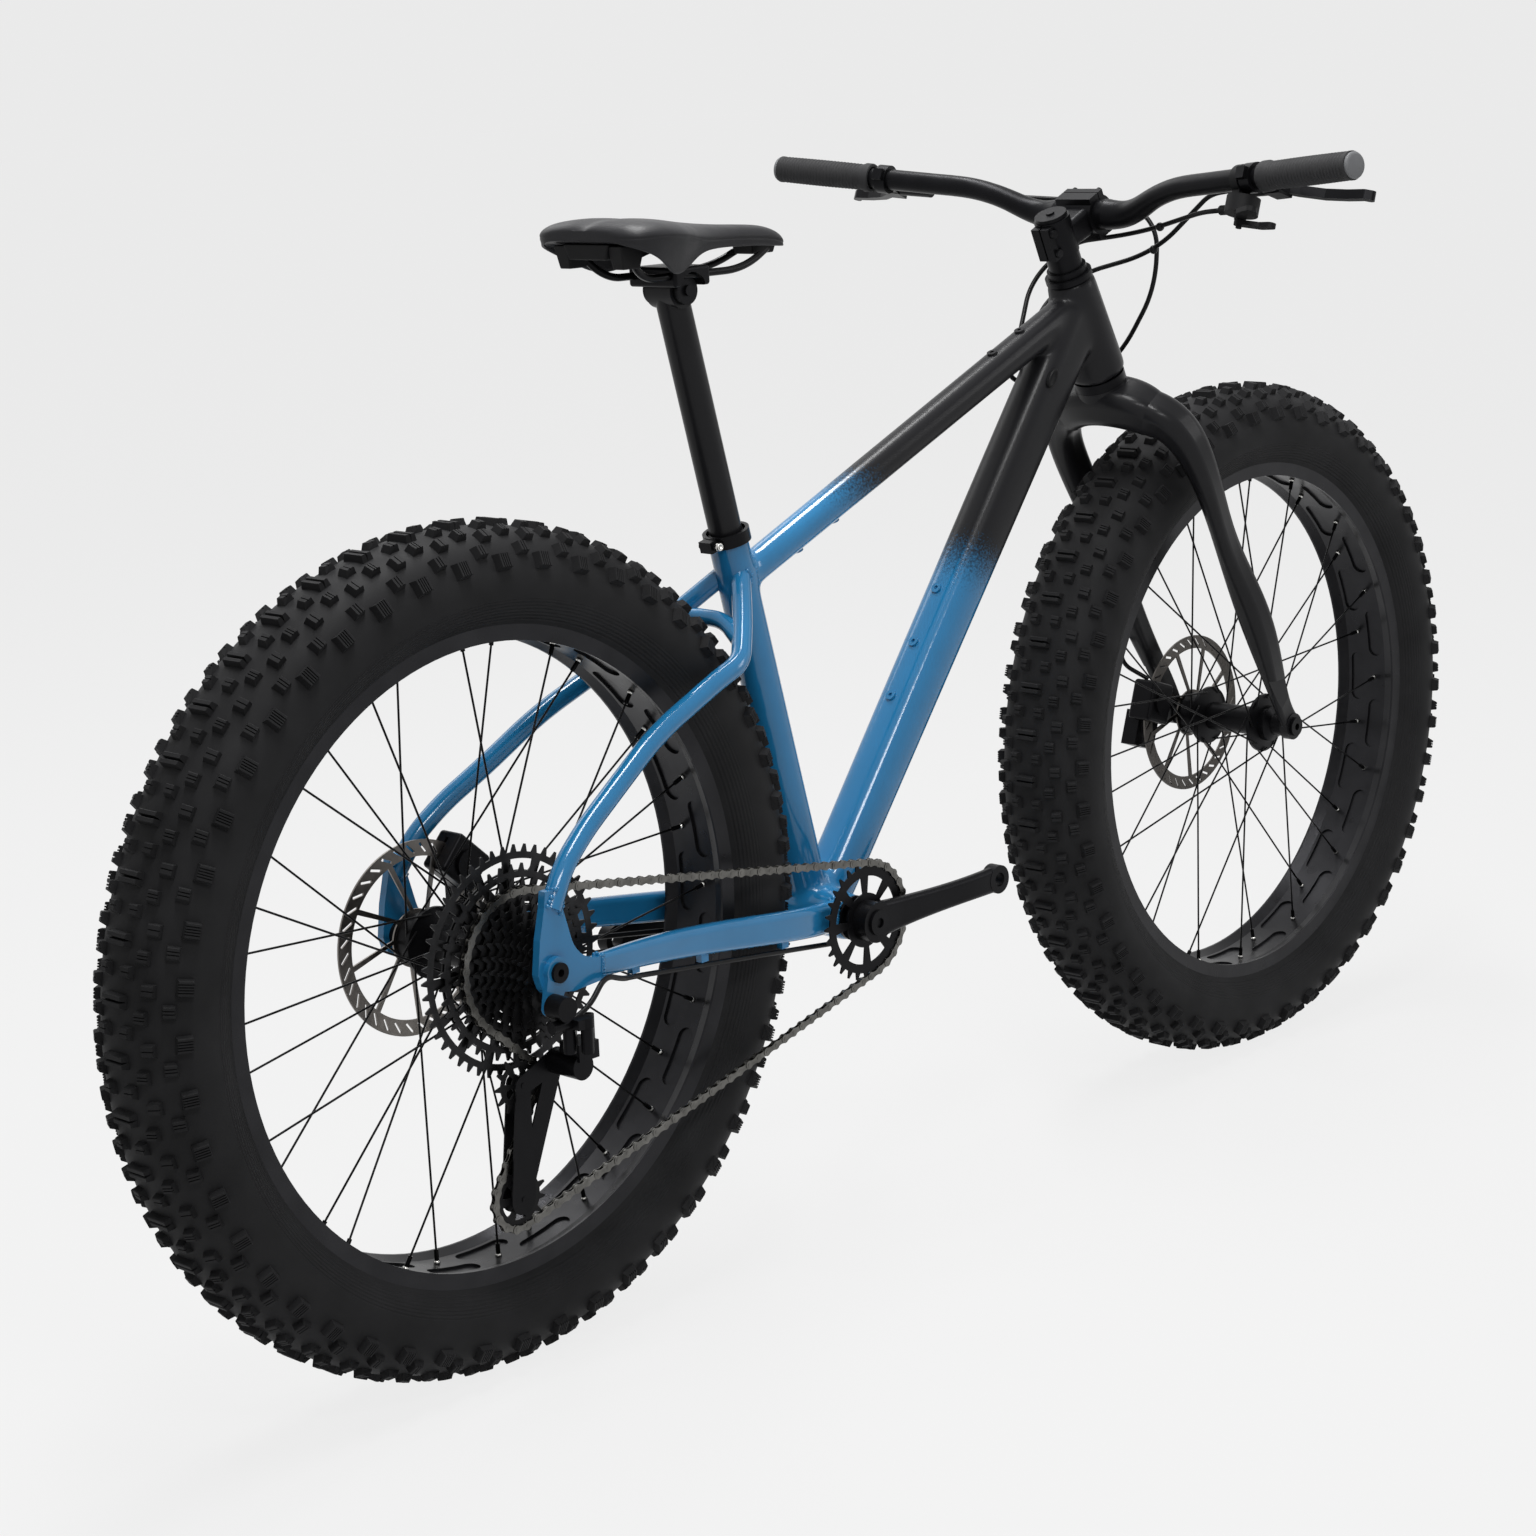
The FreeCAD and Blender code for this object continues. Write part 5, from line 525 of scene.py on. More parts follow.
class Scatter:
    """Places copies of one small mesh on points that carry their turn and size."""

    TREE_NAME = "place_on_points"

    def __init__(self, seed: int = 7) -> None:
        """Build the tree once for the scene.

        Args:
            seed: fixed seed for the small difference in size between copies.
        """
        self.seed = seed
        self.tree = bpy.data.node_groups.get(self.TREE_NAME) or self.plant()
        self.keys = {item.name: item.identifier for item in self.tree.interface.items_tree
                     if item.item_type == "SOCKET" and item.in_out == "INPUT"}

    def plant(self) -> Tree:
        """Make the node tree.

        Returns:
            The tree, with named inputs.
        """
        tree = bpy.data.node_groups.new(self.TREE_NAME, "GeometryNodeTree")
        face = tree.interface
        kinds = {
            "Points": "Geometry", "Piece": "Object", "Finish": "Material", "Spread": "Float", "Seed": "Int",
        }
        for name, kind in kinds.items():
            face.new_socket(name, in_out="INPUT", socket_type="NodeSocket" + kind)
        face.new_socket("Geometry", in_out="OUTPUT", socket_type="NodeSocketGeometry")
        given = add(tree, "NodeGroupInput").outputs
        piece = add(tree, "GeometryNodeObjectInfo", {"Object": given["Piece"]}, transform_space="ORIGINAL")
        turn = add(tree, "GeometryNodeInputNamedAttribute", {"Name": "turn"}, data_type="FLOAT_VECTOR")
        size = add(tree, "GeometryNodeInputNamedAttribute", {"Name": "size"}, data_type="FLOAT_VECTOR")
        least = add(tree, "ShaderNodeMath", {0: 1.0, 1: given["Spread"]}, operation="SUBTRACT")
        most = add(tree, "ShaderNodeMath", {0: 1.0, 1: given["Spread"]}, operation="ADD")
        chance = add(tree, "FunctionNodeRandomValue", data_type="FLOAT")
        open_inputs = [s for s in chance.inputs if s.enabled]
        tree.links.new(least.outputs["Value"], open_inputs[0])
        tree.links.new(most.outputs["Value"], open_inputs[1])
        tree.links.new(given["Seed"], chance.inputs["Seed"])
        drawn = [s for s in chance.outputs if s.enabled][0]
        scale = add(tree, "ShaderNodeVectorMath", {0: size.outputs["Attribute"]}, operation="SCALE")
        tree.links.new(drawn, scale.inputs["Scale"])
        rotation = add(tree, "FunctionNodeEulerToRotation", {"Euler": turn.outputs["Attribute"]})
        copies = add(tree, "GeometryNodeInstanceOnPoints", {
            "Points": given["Points"], "Instance": piece.outputs["Geometry"],
            "Rotation": rotation.outputs["Rotation"], "Scale": scale.outputs["Vector"],
        })
        real = add(tree, "GeometryNodeRealizeInstances", {"Geometry": copies.outputs["Instances"]})
        worn = add(tree, "GeometryNodeSetMaterial", {
            "Geometry": real.outputs["Geometry"], "Material": given["Finish"],
        })
        add(tree, "NodeGroupOutput", {"Geometry": worn.outputs["Geometry"]})
        return tree

    def place(self, name: str, shape: Mesh, spots: Iterable[tuple[Vector, Matrix, Vector]],
              finish: Finish, spread: float = 0.0) -> Piece:
        """Make one mesh of many copies.

        Args:
            name: piece name.
            shape: mesh of one copy, about its own origin.
            spots: point, 3 by 3 turn and size of each copy.
            finish: finish of the copies.
            spread: largest difference in size, as a share.

        Returns:
            The piece, a plain mesh in the row frame.
        """
        rows = list(spots)
        points = bpy.data.meshes.new(name + "_points")
        points.from_pydata([tuple(p) for p, _, _ in rows], [], [])
        layers = {"turn": [tuple(m.to_euler()) for _, m, _ in rows], "size": [tuple(s) for _, _, s in rows]}
        for key, values in layers.items():
            layer = points.attributes.new(key, "FLOAT_VECTOR", "POINT")
            layer.data.foreach_set("vector", np.array(values, dtype=np.float32).ravel())
        source = make_object(name + "_one", shape)
        carrier = make_object(name + "_carrier", points)
        modifier = carrier.modifiers.new("place", "NODES")
        modifier.node_group = self.tree
        modifier[self.keys["Piece"]] = source
        modifier[self.keys["Finish"]] = finish.material()
        modifier[self.keys["Spread"]] = spread
        modifier[self.keys["Seed"]] = self.seed
        mesh = bake(carrier)
        bpy.data.objects.remove(source, do_unlink=True)
        for key in layers:
            if key in mesh.attributes:
                mesh.attributes.remove(mesh.attributes[key])
        return make_object(name, mesh)


def block(name: str, length: float, width: float, height: float, slots: int, ramp: float) -> Mesh:
    """Tread block with a wider foot, a ramp on one end and slots cut across its top.

    Args:
        name: mesh name.
        length: size along the tread, in mm.
        width: size across the tread, in mm.
        height: height over the casing, in mm.
        slots: number of slots across the block.
        ramp: how far the top of one end is set back, in mm.

    Returns:
        The mesh, about the middle of its foot, in metres.
    """
    start = -length / 2 + 0.6
    end = length / 2 - ramp
    outline = [(-length / 2 - 1.0, -3.0), (-length / 2, height - 0.7), (start, height)]
    for k in range(slots):
        mid = start + (end - start) * (k + 1) / (slots + 1)
        floor = height - 1.8
        outline += [(mid - 0.5, height), (mid - 0.36, floor), (mid + 0.36, floor), (mid + 0.5, height)]
    outline += [(end, height), (length / 2 + 0.6, 0.0), (length / 2 + 1.0, -3.0)]
    verts = []
    for side in (-1, 1):
        for along, up in outline:
            lean = 1.0 - max(0.0, up) / height
            verts.append((along * MM, side * (width / 2 + 1.1 * lean) * MM, up * MM))
    count = len(outline)
    faces = [(i, (i + 1) % count, count + (i + 1) % count, count + i) for i in range(count)]
    faces += [tuple(range(count)), tuple(range(count, 2 * count))]
    return mesh_of(name, verts, faces, smooth=False)


# Sub-assemblies


class End(Enum):
    """Which wheel."""

    FRONT = "front"
    REAR = "rear"


class Knob(Enum):
    """Kinds of tread block."""

    BAR = "bar"
    INNER = "inner"
    MIDDLE = "middle"
    CROSS = "cross"
    STEP = "step"
    SHOULDER = "shoulder"


@dataclass
class Tyre:
    """A knobbly fat tyre: moulded casing, bead and six kinds of block."""

    end: End
    centre: Vector
    body: str
    scatter: Scatter
    pitches: int = 48
    casing: tuple = (
        (0.0, 378.0), (10.0, 377.8), (20.0, 376.2), (30.0, 372.6), (40.0, 366.0),
        (47.0, 358.6), (52.0, 350.0), (55.5, 341.0), (57.0, 331.0), (56.2, 321.0),
        (53.0, 311.5), (48.5, 303.6), (43.5, 298.4), (40.0, 296.0), (38.6, 293.6),
    )
    blocks: dict = field(default_factory=lambda: {
        Knob.BAR: ((4.6, 23.0, 6.0, 0, 0.8), ((0.0, -0.06), (0.0, 0.06))),
        Knob.INNER: ((10.0, 9.0, 6.0, 1, 2.2), ((13.0, 0.507), (-13.0, 0.507))),
        Knob.MIDDLE: ((10.5, 9.0, 6.0, 2, 2.2), ((27.0, 0.227), (-27.0, 0.227))),
        Knob.CROSS: ((10.5, 10.0, 6.0, 1, 2.0), ((32.5, 0.76), (-32.5, 0.76))),
        Knob.STEP: ((11.0, 9.5, 6.2, 2, 2.2), ((45.0, 0.093), (-45.0, 0.093))),
        Knob.SHOULDER: ((13.5, 12.5, 7.0, 4, 1.4), ((51.2, 0.667), (-51.2, 0.667))),
    })

    wall_mm: float = 4.0
    size_spread: float = 0.012

    def __post_init__(self) -> None:
        """Smooth the casing curve by arc length."""
        half = np.array(self.casing)
        full = np.vstack([half[:0:-1] * (-1, 1), half])
        steps = np.concatenate([[0], np.cumsum(np.linalg.norm(np.diff(full, axis=0), axis=1))])
        fine = np.linspace(0, steps[-1], 61)
        curve = np.stack([np.interp(fine, steps, full[:, k]) for k in (0, 1)], axis=1)
        for _ in range(6):
            curve[1:-1] = 0.5 * curve[1:-1] + 0.25 * (curve[:-2] + curve[2:])
        self.curve = curve

    def build(self) -> list[Piece]:
        """Make the casing and its blocks, and let them turn with the wheel.

        Returns:
            The pieces.
        """
        rubber = tyre_rubber(f"{self.end.value}_tyre_rubber", self.centre)
        outer = in_metres(self.curve)
        inner = [(y * 0.9 * MM, (r - self.wall_mm) * MM) for y, r in self.curve[::-1]]
        ring = outer + inner + outer[:1]
        mesh = lathe(f"{self.end.value}_casing", ring, self.centre, Vector((0, 1, 0)), 192)
        pieces = [make_object(f"{self.end.value}_casing", mesh)]
        dress(pieces[0], rubber)
        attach(pieces[0], self.body)
        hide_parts(f"{self.end.value}_tyre")
        for kind, (size, rows) in self.blocks.items():
            shape = block(f"{kind.value}_block", *size)
            name = f"{self.end.value}_{kind.value}_blocks"
            piece = self.scatter.place(name, shape, self.spots(rows), rubber, self.size_spread)
            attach(piece, self.body)
            pieces.append(piece)
        return pieces

    def spots(self, rows: Sequence[tuple[float, float]]) -> Iterable[tuple[Vector, Matrix, Vector]]:
        """Where the blocks of one kind stand.

        Args:
            rows: pairs of distance from the middle in mm and share of the pitch.

        Returns:
            Point, turn and size of each block.
        """
        tread = self.curve[12:-12]
        slope = np.gradient(tread, axis=0)
        for k in range(self.pitches):
            for across, share in rows:
                r = float(np.interp(across, tread[:, 0], tread[:, 1]))
                step = np.array([np.interp(across, tread[:, 0], slope[:, i]) for i in (0, 1)])
                step = step / np.linalg.norm(step)
                normal_y, normal_r = -step[1], step[0]
                turn = 2 * math.pi * (k + share) / self.pitches
                out = Vector((math.cos(turn), 0, math.sin(turn)))
                along = Vector((-math.sin(turn), 0, math.cos(turn)))
                normal = (out * normal_r + Vector((0, normal_y, 0))).normalized()
                side = normal.cross(along).normalized()
                spot = self.centre + out * (r * MM) + Vector((0, across * MM, 0))
                yield spot, Matrix((along, side, normal)).transposed(), Vector((1, 1, 1))


@dataclass
class Wheel:
    """Rim, spokes, nipples, hub and brake disc of one wheel."""

    end: End
    centre: Vector
    body: str
    scatter: Scatter
    disc_colour: str = "#77736f"
    tip_mm: float = 4.0
    root_mm: float = 20.0

    def build(self) -> list[Piece]:
        """Dress the solids, then add the nipples and the tyre.

        Returns:
            The added pieces.
        """
        name = self.end.value
        disc = ground_disc(f"{name}_ground_disc", self.centre, self.disc_colour)
        kinds = {"rim": RIM_BLACK, "spokes": WIRE_BLACK, "hub": ANODISED, "axle": ANODISED, "rotor": disc}
        dress_nodes({f"{name}_{kind}": finish for kind, finish in kinds.items()})
        pieces = Tyre(self.end, self.centre, self.body, self.scatter).build()
        pieces.append(self.nipples())
        return pieces

    def nipples(self) -> Piece:
        """Plated nipples at the outer ends of the spokes."""
        work = copy_of(f"{self.end.value}_spokes")
        left = set(work.verts)
        spots = []
        while left:
            seed = left.pop()
            lump, queue = [seed], [seed]
            while queue:
                for edge in queue.pop().link_edges:
                    for vert in edge.verts:
                        if vert in left:
                            left.remove(vert)
                            lump.append(vert)
                            queue.append(vert)
            points = np.array([tuple(v.co) for v in lump])
            reach = np.hypot(points[:, 0] - self.centre.x, points[:, 2] - self.centre.z)
            far = Vector(points[reach > reach.max() - self.tip_mm * MM].mean(axis=0))
            near = Vector(points[reach < reach.min() + self.root_mm * MM].mean(axis=0))
            spots.append((far, facing((near - far).normalized()), Vector((1, 1, 1))))
        work.free()
        profile = [(-1.0, 0.0), (-1.0, 3.0), (1.5, 3.0), (2.2, 2.1), (11.0, 1.9), (12.0, 1.5), (12.0, 0.0)]
        shape = lathe("nipple", in_metres(profile), Vector(), Vector((0, 0, 1)), 8)
        piece = self.scatter.place(f"{self.end.value}_nipples", shape, spots, NICKEL)
        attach(piece, self.body)
        return piece


@dataclass
class FrameShell:
    """Welded tubes as one skin with soft fillets at the welds, painted blue to black."""

    hulls: tuple = ("head_tube", "top_tube", "down_tube", "seat_tube", "bottom_bracket_shell")
    smooth: tuple = ("dropouts", "chainstays", "seatstays")
    scatter: Optional[Scatter] = None
    voxel_mm: float = 2.2
    rounds: int = 70
    swell_mm: float = 0.78
    bead_mm: float = 3.2
    seams: tuple = (
        ("down_tube", "bottom_bracket_shell"), ("seat_tube", "bottom_bracket_shell"),
        ("chainstays", "bottom_bracket_shell"), ("seatstays", "dropouts"), ("chainstays", "dropouts"),
        ("top_tube", "seat_tube"), ("seatstays", "seat_tube"),
    )
    bead_size_mm: tuple = (2.6, 2.6, 2.4)
    bead_bins: int = 40
    touch_mm: float = 0.15
    size_spread: float = 0.12
    widest_gap: float = 0.03
    port: tuple = (0.2320, -0.0245, 0.8097)
    port_half_mm: tuple = (11.0, 5.5)
    down_tube_way: tuple = (0.6131, 0.0, 0.79)
    seat_tube_way: tuple = (-0.2495, 0.0, 0.9684)
    collar_bolt: tuple = (-0.2620, -0.0120, 0.7016)

    def build(self) -> list[Piece]:
        """Join the tubes, smooth the joins and paint them.

        Returns:
            The frame skin.
        """
        whole = bmesh.new()
        for node in self.hulls:
            work = copy_of(node)
            made = bmesh.ops.convex_hull(work, input=work.verts[:])
            junk = [v for v in made["geom_interior"] if isinstance(v, bmesh.types.BMVert)]
            bmesh.ops.delete(work, geom=junk, context="VERTS")
            self.move(work, whole)
        mesh = bpy.data.meshes.new("frame_parts")
        whole.to_mesh(mesh)
        whole.free()
        obj = make_object("frame_parts", mesh)
        remesh = obj.modifiers.new("skin", "REMESH")
        remesh.mode = "VOXEL"
        remesh.voxel_size = self.voxel_mm * MM
        soften = obj.modifiers.new("welds", "SMOOTH")
        soften.factor = 0.5
        soften.iterations = self.rounds
        swell = obj.modifiers.new("full_size", "DISPLACE")
        swell.mid_level = 0.0
        swell.strength = self.swell_mm * MM
        skin = make_object("frame_skin", bake(obj))
        skin.data.materials.clear()
        soft_shaded(skin.data)
        dress(skin, PAINT)
        self.mask(skin)
        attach(skin, "frame")
        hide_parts(*self.hulls)
        dress_nodes({"seat_clamp": ANODISED, "frame_bearings": ANODISED, "frame_cables": SLEEVE})
        dress_nodes(dict.fromkeys((*self.smooth, "frame_bosses"), PAINT))
        return [skin, self.welds(), self.plug(), self.bolt()]

    def mask(self, skin: Piece) -> None:
        """Bare black rim of the seat tube inside its collar."""
        skin.data.materials.append(ANODISED.material())
        rise = Vector(self.seat_tube_way)
        start = min(Vector(p).dot(rise) for p in node_points("seat_clamp")) + 3 * MM
        for face in skin.data.polygons:
            if face.center.x < -0.15 and face.center.dot(rise) > start:
                face.material_index = 1

    def welds(self) -> Piece:
        """Rippled beads where the tubes meet, under the same paint."""
        spots = []
        for tube, host in self.seams:
            work = copy_of(host)
            skin = BVHTree.FromBMesh(work)
            work.free()
            near = self.touch_mm * MM
            touching = [p for p in node_points(tube) if (skin.find_nearest(Vector(p))[3] or 0.0) < near]
            for ring in self.rings(np.array(touching)):
                spots += self.beads(ring)
        profile = [(-1.0, 0.0), (-0.8, 0.6), (0.0, 1.0), (0.8, 0.6), (1.0, 0.0)]
        shape = lathe("bead", profile, Vector(), Vector((0, 0, 1)), 8)
        piece = self.scatter.place("weld_beads", shape, spots, PAINT, self.size_spread)
        soft_shaded(piece.data)
        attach(piece, "frame")
        return piece

    def rings(self, points: np.ndarray) -> list[np.ndarray]:
        """Split touching points into the right, middle and left joins.

        Args:
            points: points where one tube lies on another.

        Returns:
            One group of points for each join.
        """
        if len(points) < 6:
            return []
        if np.abs(points[:, 1]).min() < 0.012:
            return [points]
        return [g for g in (points[points[:, 1] < 0], points[points[:, 1] > 0]) if len(g) > 5]

    def beads(self, ring: np.ndarray) -> list[tuple[Vector, Matrix, Vector]]:
        """Ripples of one weld.

        Args:
            ring: points on the join.

        Returns:
            Point, turn and size of each ripple.
        """
        middle = ring.mean(axis=0)
        across, along, normal = np.linalg.svd(ring - middle, full_matrices=False)[2]
        flat = (ring - middle) @ np.stack([across, along], axis=1)
        angle = np.arctan2(flat[:, 1], flat[:, 0])
        reach = np.hypot(flat[:, 0], flat[:, 1])
        bins = {}
        for k in range(len(ring)):
            key = int((angle[k] + math.pi) / (2 * math.pi) * self.bead_bins) % self.bead_bins
            if key not in bins or reach[k] > reach[bins[key]]:
                bins[key] = k
        order = [ring[bins[key]] for key in sorted(bins)]
        spots = []
        for start, end in zip(order, order[1:] + order[:1]):
            gap = float(np.linalg.norm(end - start))
            if gap > self.widest_gap:
                continue
            count = max(1, round(gap / (self.bead_mm * MM)))
            turn = facing(Vector(end - start).normalized())
            size = Vector(self.bead_size_mm) * MM
            spots += [(Vector(start + (end - start) * step / count), turn, size) for step in range(count)]
        return spots

    def plug(self) -> Piece:
        """Oval rubber plug in the spare cable port on the right of the down tube."""
        along = Vector(self.down_tube_way)
        out = Vector((0, -1, 0))
        side = along.cross(out)
        half_length, half_width = (size * MM for size in self.port_half_mm)
        rows = ((1.0, -3.0), (1.0, 0.6), (0.9, 1.4), (0.7, 1.5), (0.62, 0.7), (0.0, 0.7))
        steps = 32
        verts = []
        for share, rise in rows:
            for k in range(steps):
                turn = 2 * math.pi * k / steps
                verts.append(Vector(self.port) + along * (half_length * share * math.cos(turn))
                             + side * (half_width * share * math.sin(turn)) + out * (rise * MM))
        faces = []
        for a in range(0, (len(rows) - 1) * steps, steps):
            for k in range(steps):
                after = (k + 1) % steps
                faces.append((a + k, a + after, a + steps + after, a + steps + k))
        faces.append(tuple(range(steps)))
        piece = make_object("port_plug", mended(mesh_of("port_plug", verts, faces)))
        dress(piece, NYLON)
        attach(piece, "frame")
        return piece

    def bolt(self) -> Piece:
        """Plated socket bolt of the seat collar."""
        head = [(0.0, 0.0), (0.0, 4.0), (3.4, 4.0), (4.2, 3.3), (4.2, 2.1), (2.0, 2.1), (2.0, 0.0)]
        mesh = lathe("collar_bolt", in_metres(head), Vector(self.collar_bolt), Vector((0, -1, 0)), 32)
        piece = make_object("collar_bolt", mesh)
        dress(piece, NICKEL)
        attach(piece, "frame")
        return piece

    def move(self, work: bmesh.types.BMesh, whole: bmesh.types.BMesh) -> None:
        """Add one mesh to the whole and free it."""
        mesh = bpy.data.meshes.new("one_tube")
        work.to_mesh(mesh)
        work.free()
        whole.from_mesh(mesh)
        bpy.data.meshes.remove(mesh)


@dataclass
class Cockpit:
    """Fork, stem, bar, grips, brake levers, shifter and the cables round the head."""

    finishes: dict = field(default_factory=lambda: {
        "fork_crown": BLACK_ENAMEL, "fork_blades": BLACK_ENAMEL, "headset_spacers": ANODISED,
        "stem": ANODISED, "handlebar": ANODISED, "master_cylinders": ANODISED, "brake_lever_right": ANODISED,
        "brake_lever_left": ANODISED, "front_caliper": ANODISED, "shifter_body": NYLON,
        "shift_thumb_lever": NYLON, "shift_release_lever": NYLON, "front_pad_outer": PAD,
        "front_pad_inner": PAD, "front_brake_hose": SLEEVE,
    })
    ribs: int = 24
    rib_points: int = 6
    rib_mm: float = 0.55
    swell_mm: float = 0.35
    cable_frame_end: Vector = field(default_factory=lambda: Vector((0.236, 0.03, 0.80)))
    cable_bar_end: Vector = field(default_factory=lambda: Vector((0.29, -0.16, 0.97)))
    joiner_mm: float = 4.6
    joiners: tuple = (Vector((0.3234, -0.0959, 0.9585)), Vector((0.349, -0.0687, 0.9332)))

    def build(self) -> list[Piece]:
        """Dress the solids and make the grips, plugs and cables.

        Returns:
            The added pieces.
        """
        dress_nodes(self.finishes)
        return self.grips() + [self.cables()]

    def grips(self) -> list[Piece]:
        """Ribbed rubber sleeves with a grey plug at each bar end."""
        cloud = node_points("grips")
        pieces = []
        for word, side in (("right", -1), ("left", 1)):
            points = cloud[cloud[:, 1] * side > 0]
            middle = points.mean(axis=0)
            axis = np.linalg.svd(points - middle, full_matrices=False)[2][0]
            axis = axis * np.sign(axis[1] * side)
            reach = (points - middle) @ axis
            start = Vector(middle + axis * reach.min())
            length = float(reach.max() - reach.min()) / MM
            way = Vector(axis)
            away = np.linalg.norm((points - middle) - np.outer(reach, axis), axis=1)
            radius = float(away.max()) / MM - 1.0
            sleeve = in_metres(self.sleeve(length, radius))
            grip = make_object(f"grip_sleeve_{word}", lathe("sleeve", sleeve, start, way, 64))
            dress(grip, GRIP_RUBBER)
            plug = [(length - 4.6, 0.0), (length - 4.6, radius - 1.6), (length - 2.4, radius - 1.3),
                    (length - 0.9, radius - 2.4), (length - 0.2, radius - 4.6), (length - 0.2, 0.0)]
            cap = make_object(f"bar_plug_{word}", lathe("plug", in_metres(plug), start, way, 48))
            dress(cap, PLUG_GREY)
            for piece in (grip, cap):
                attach(piece, "steering")
            pieces += [grip, cap]
        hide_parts("grips")
        return pieces

    def sleeve(self, length: float, radius: float) -> list[tuple[float, float]]:
        """Outline of a ribbed sleeve that swells a little in the middle.

        Args:
            length: length of the grip in mm.
            radius: radius of its body in mm.

        Returns:
            Pairs of distance along the bar and radius, in mm.
        """
        line = [(0.0, 12.0), (0.0, radius + 0.6), (1.2, radius + 1.0), (8.0, radius + 1.0),
                (10.0, radius - 0.6)]
        first = 12.0
        last = length - 9.0
        steps = self.ribs * self.rib_points
        for k in range(steps + 1):
            share = k / steps
            swell = self.swell_mm * math.sin(math.pi * share)
            rib = self.rib_mm * math.cos(2 * math.pi * share * self.ribs)
            line.append((first + (last - first) * share, radius - 0.9 + rib + swell))
        return line + [(length - 7.0, radius - 0.2), (length - 5.0, radius - 0.2),
                       (length - 4.4, radius - 1.0), (length - 4.4, 0.0)]

    def cables(self) -> Piece:
        """Housing that runs between frame and bar, with two small joiners on it."""
        work = copy_of("control_cables")
        for spot in self.joiners:
            made = bmesh.ops.create_uvsphere(work, u_segments=16, v_segments=10, radius=self.joiner_mm * MM)
            bmesh.ops.translate(work, vec=spot, verts=made["verts"])
        mesh = bpy.data.meshes.new("bar_cables")
        work.to_mesh(mesh)
        work.free()
        piece = make_object("bar_cables", mesh)
        dress(piece, SLEEVE)
        soft_shaded(mesh)
        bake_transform(piece)
        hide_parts("control_cables")
        return piece


@dataclass
class Drivetrain:
    """Crank, chain, sprockets, derailleur and rear brake."""

    finishes: dict = field(default_factory=lambda: {
        "chain": CHAIN_STEEL, "cassette": COG_STEEL, "chainring": ANODISED, "crank_arms": ANODISED,
        "derailleur_outer_link": ANODISED, "derailleur_inner_link": ANODISED,
        "derailleur_b_knuckle": ANODISED, "derailleur_p_knuckle": ANODISED, "derailleur_cage": ANODISED,
        "upper_jockey": NYLON, "lower_jockey": NYLON,
        "rear_caliper": ANODISED, "rear_pad_outer": PAD, "rear_pad_inner": PAD,
    })

    def build(self) -> list[Piece]:
        """Dress the solids; no piece is added."""
        dress_nodes(self.finishes)
        return []


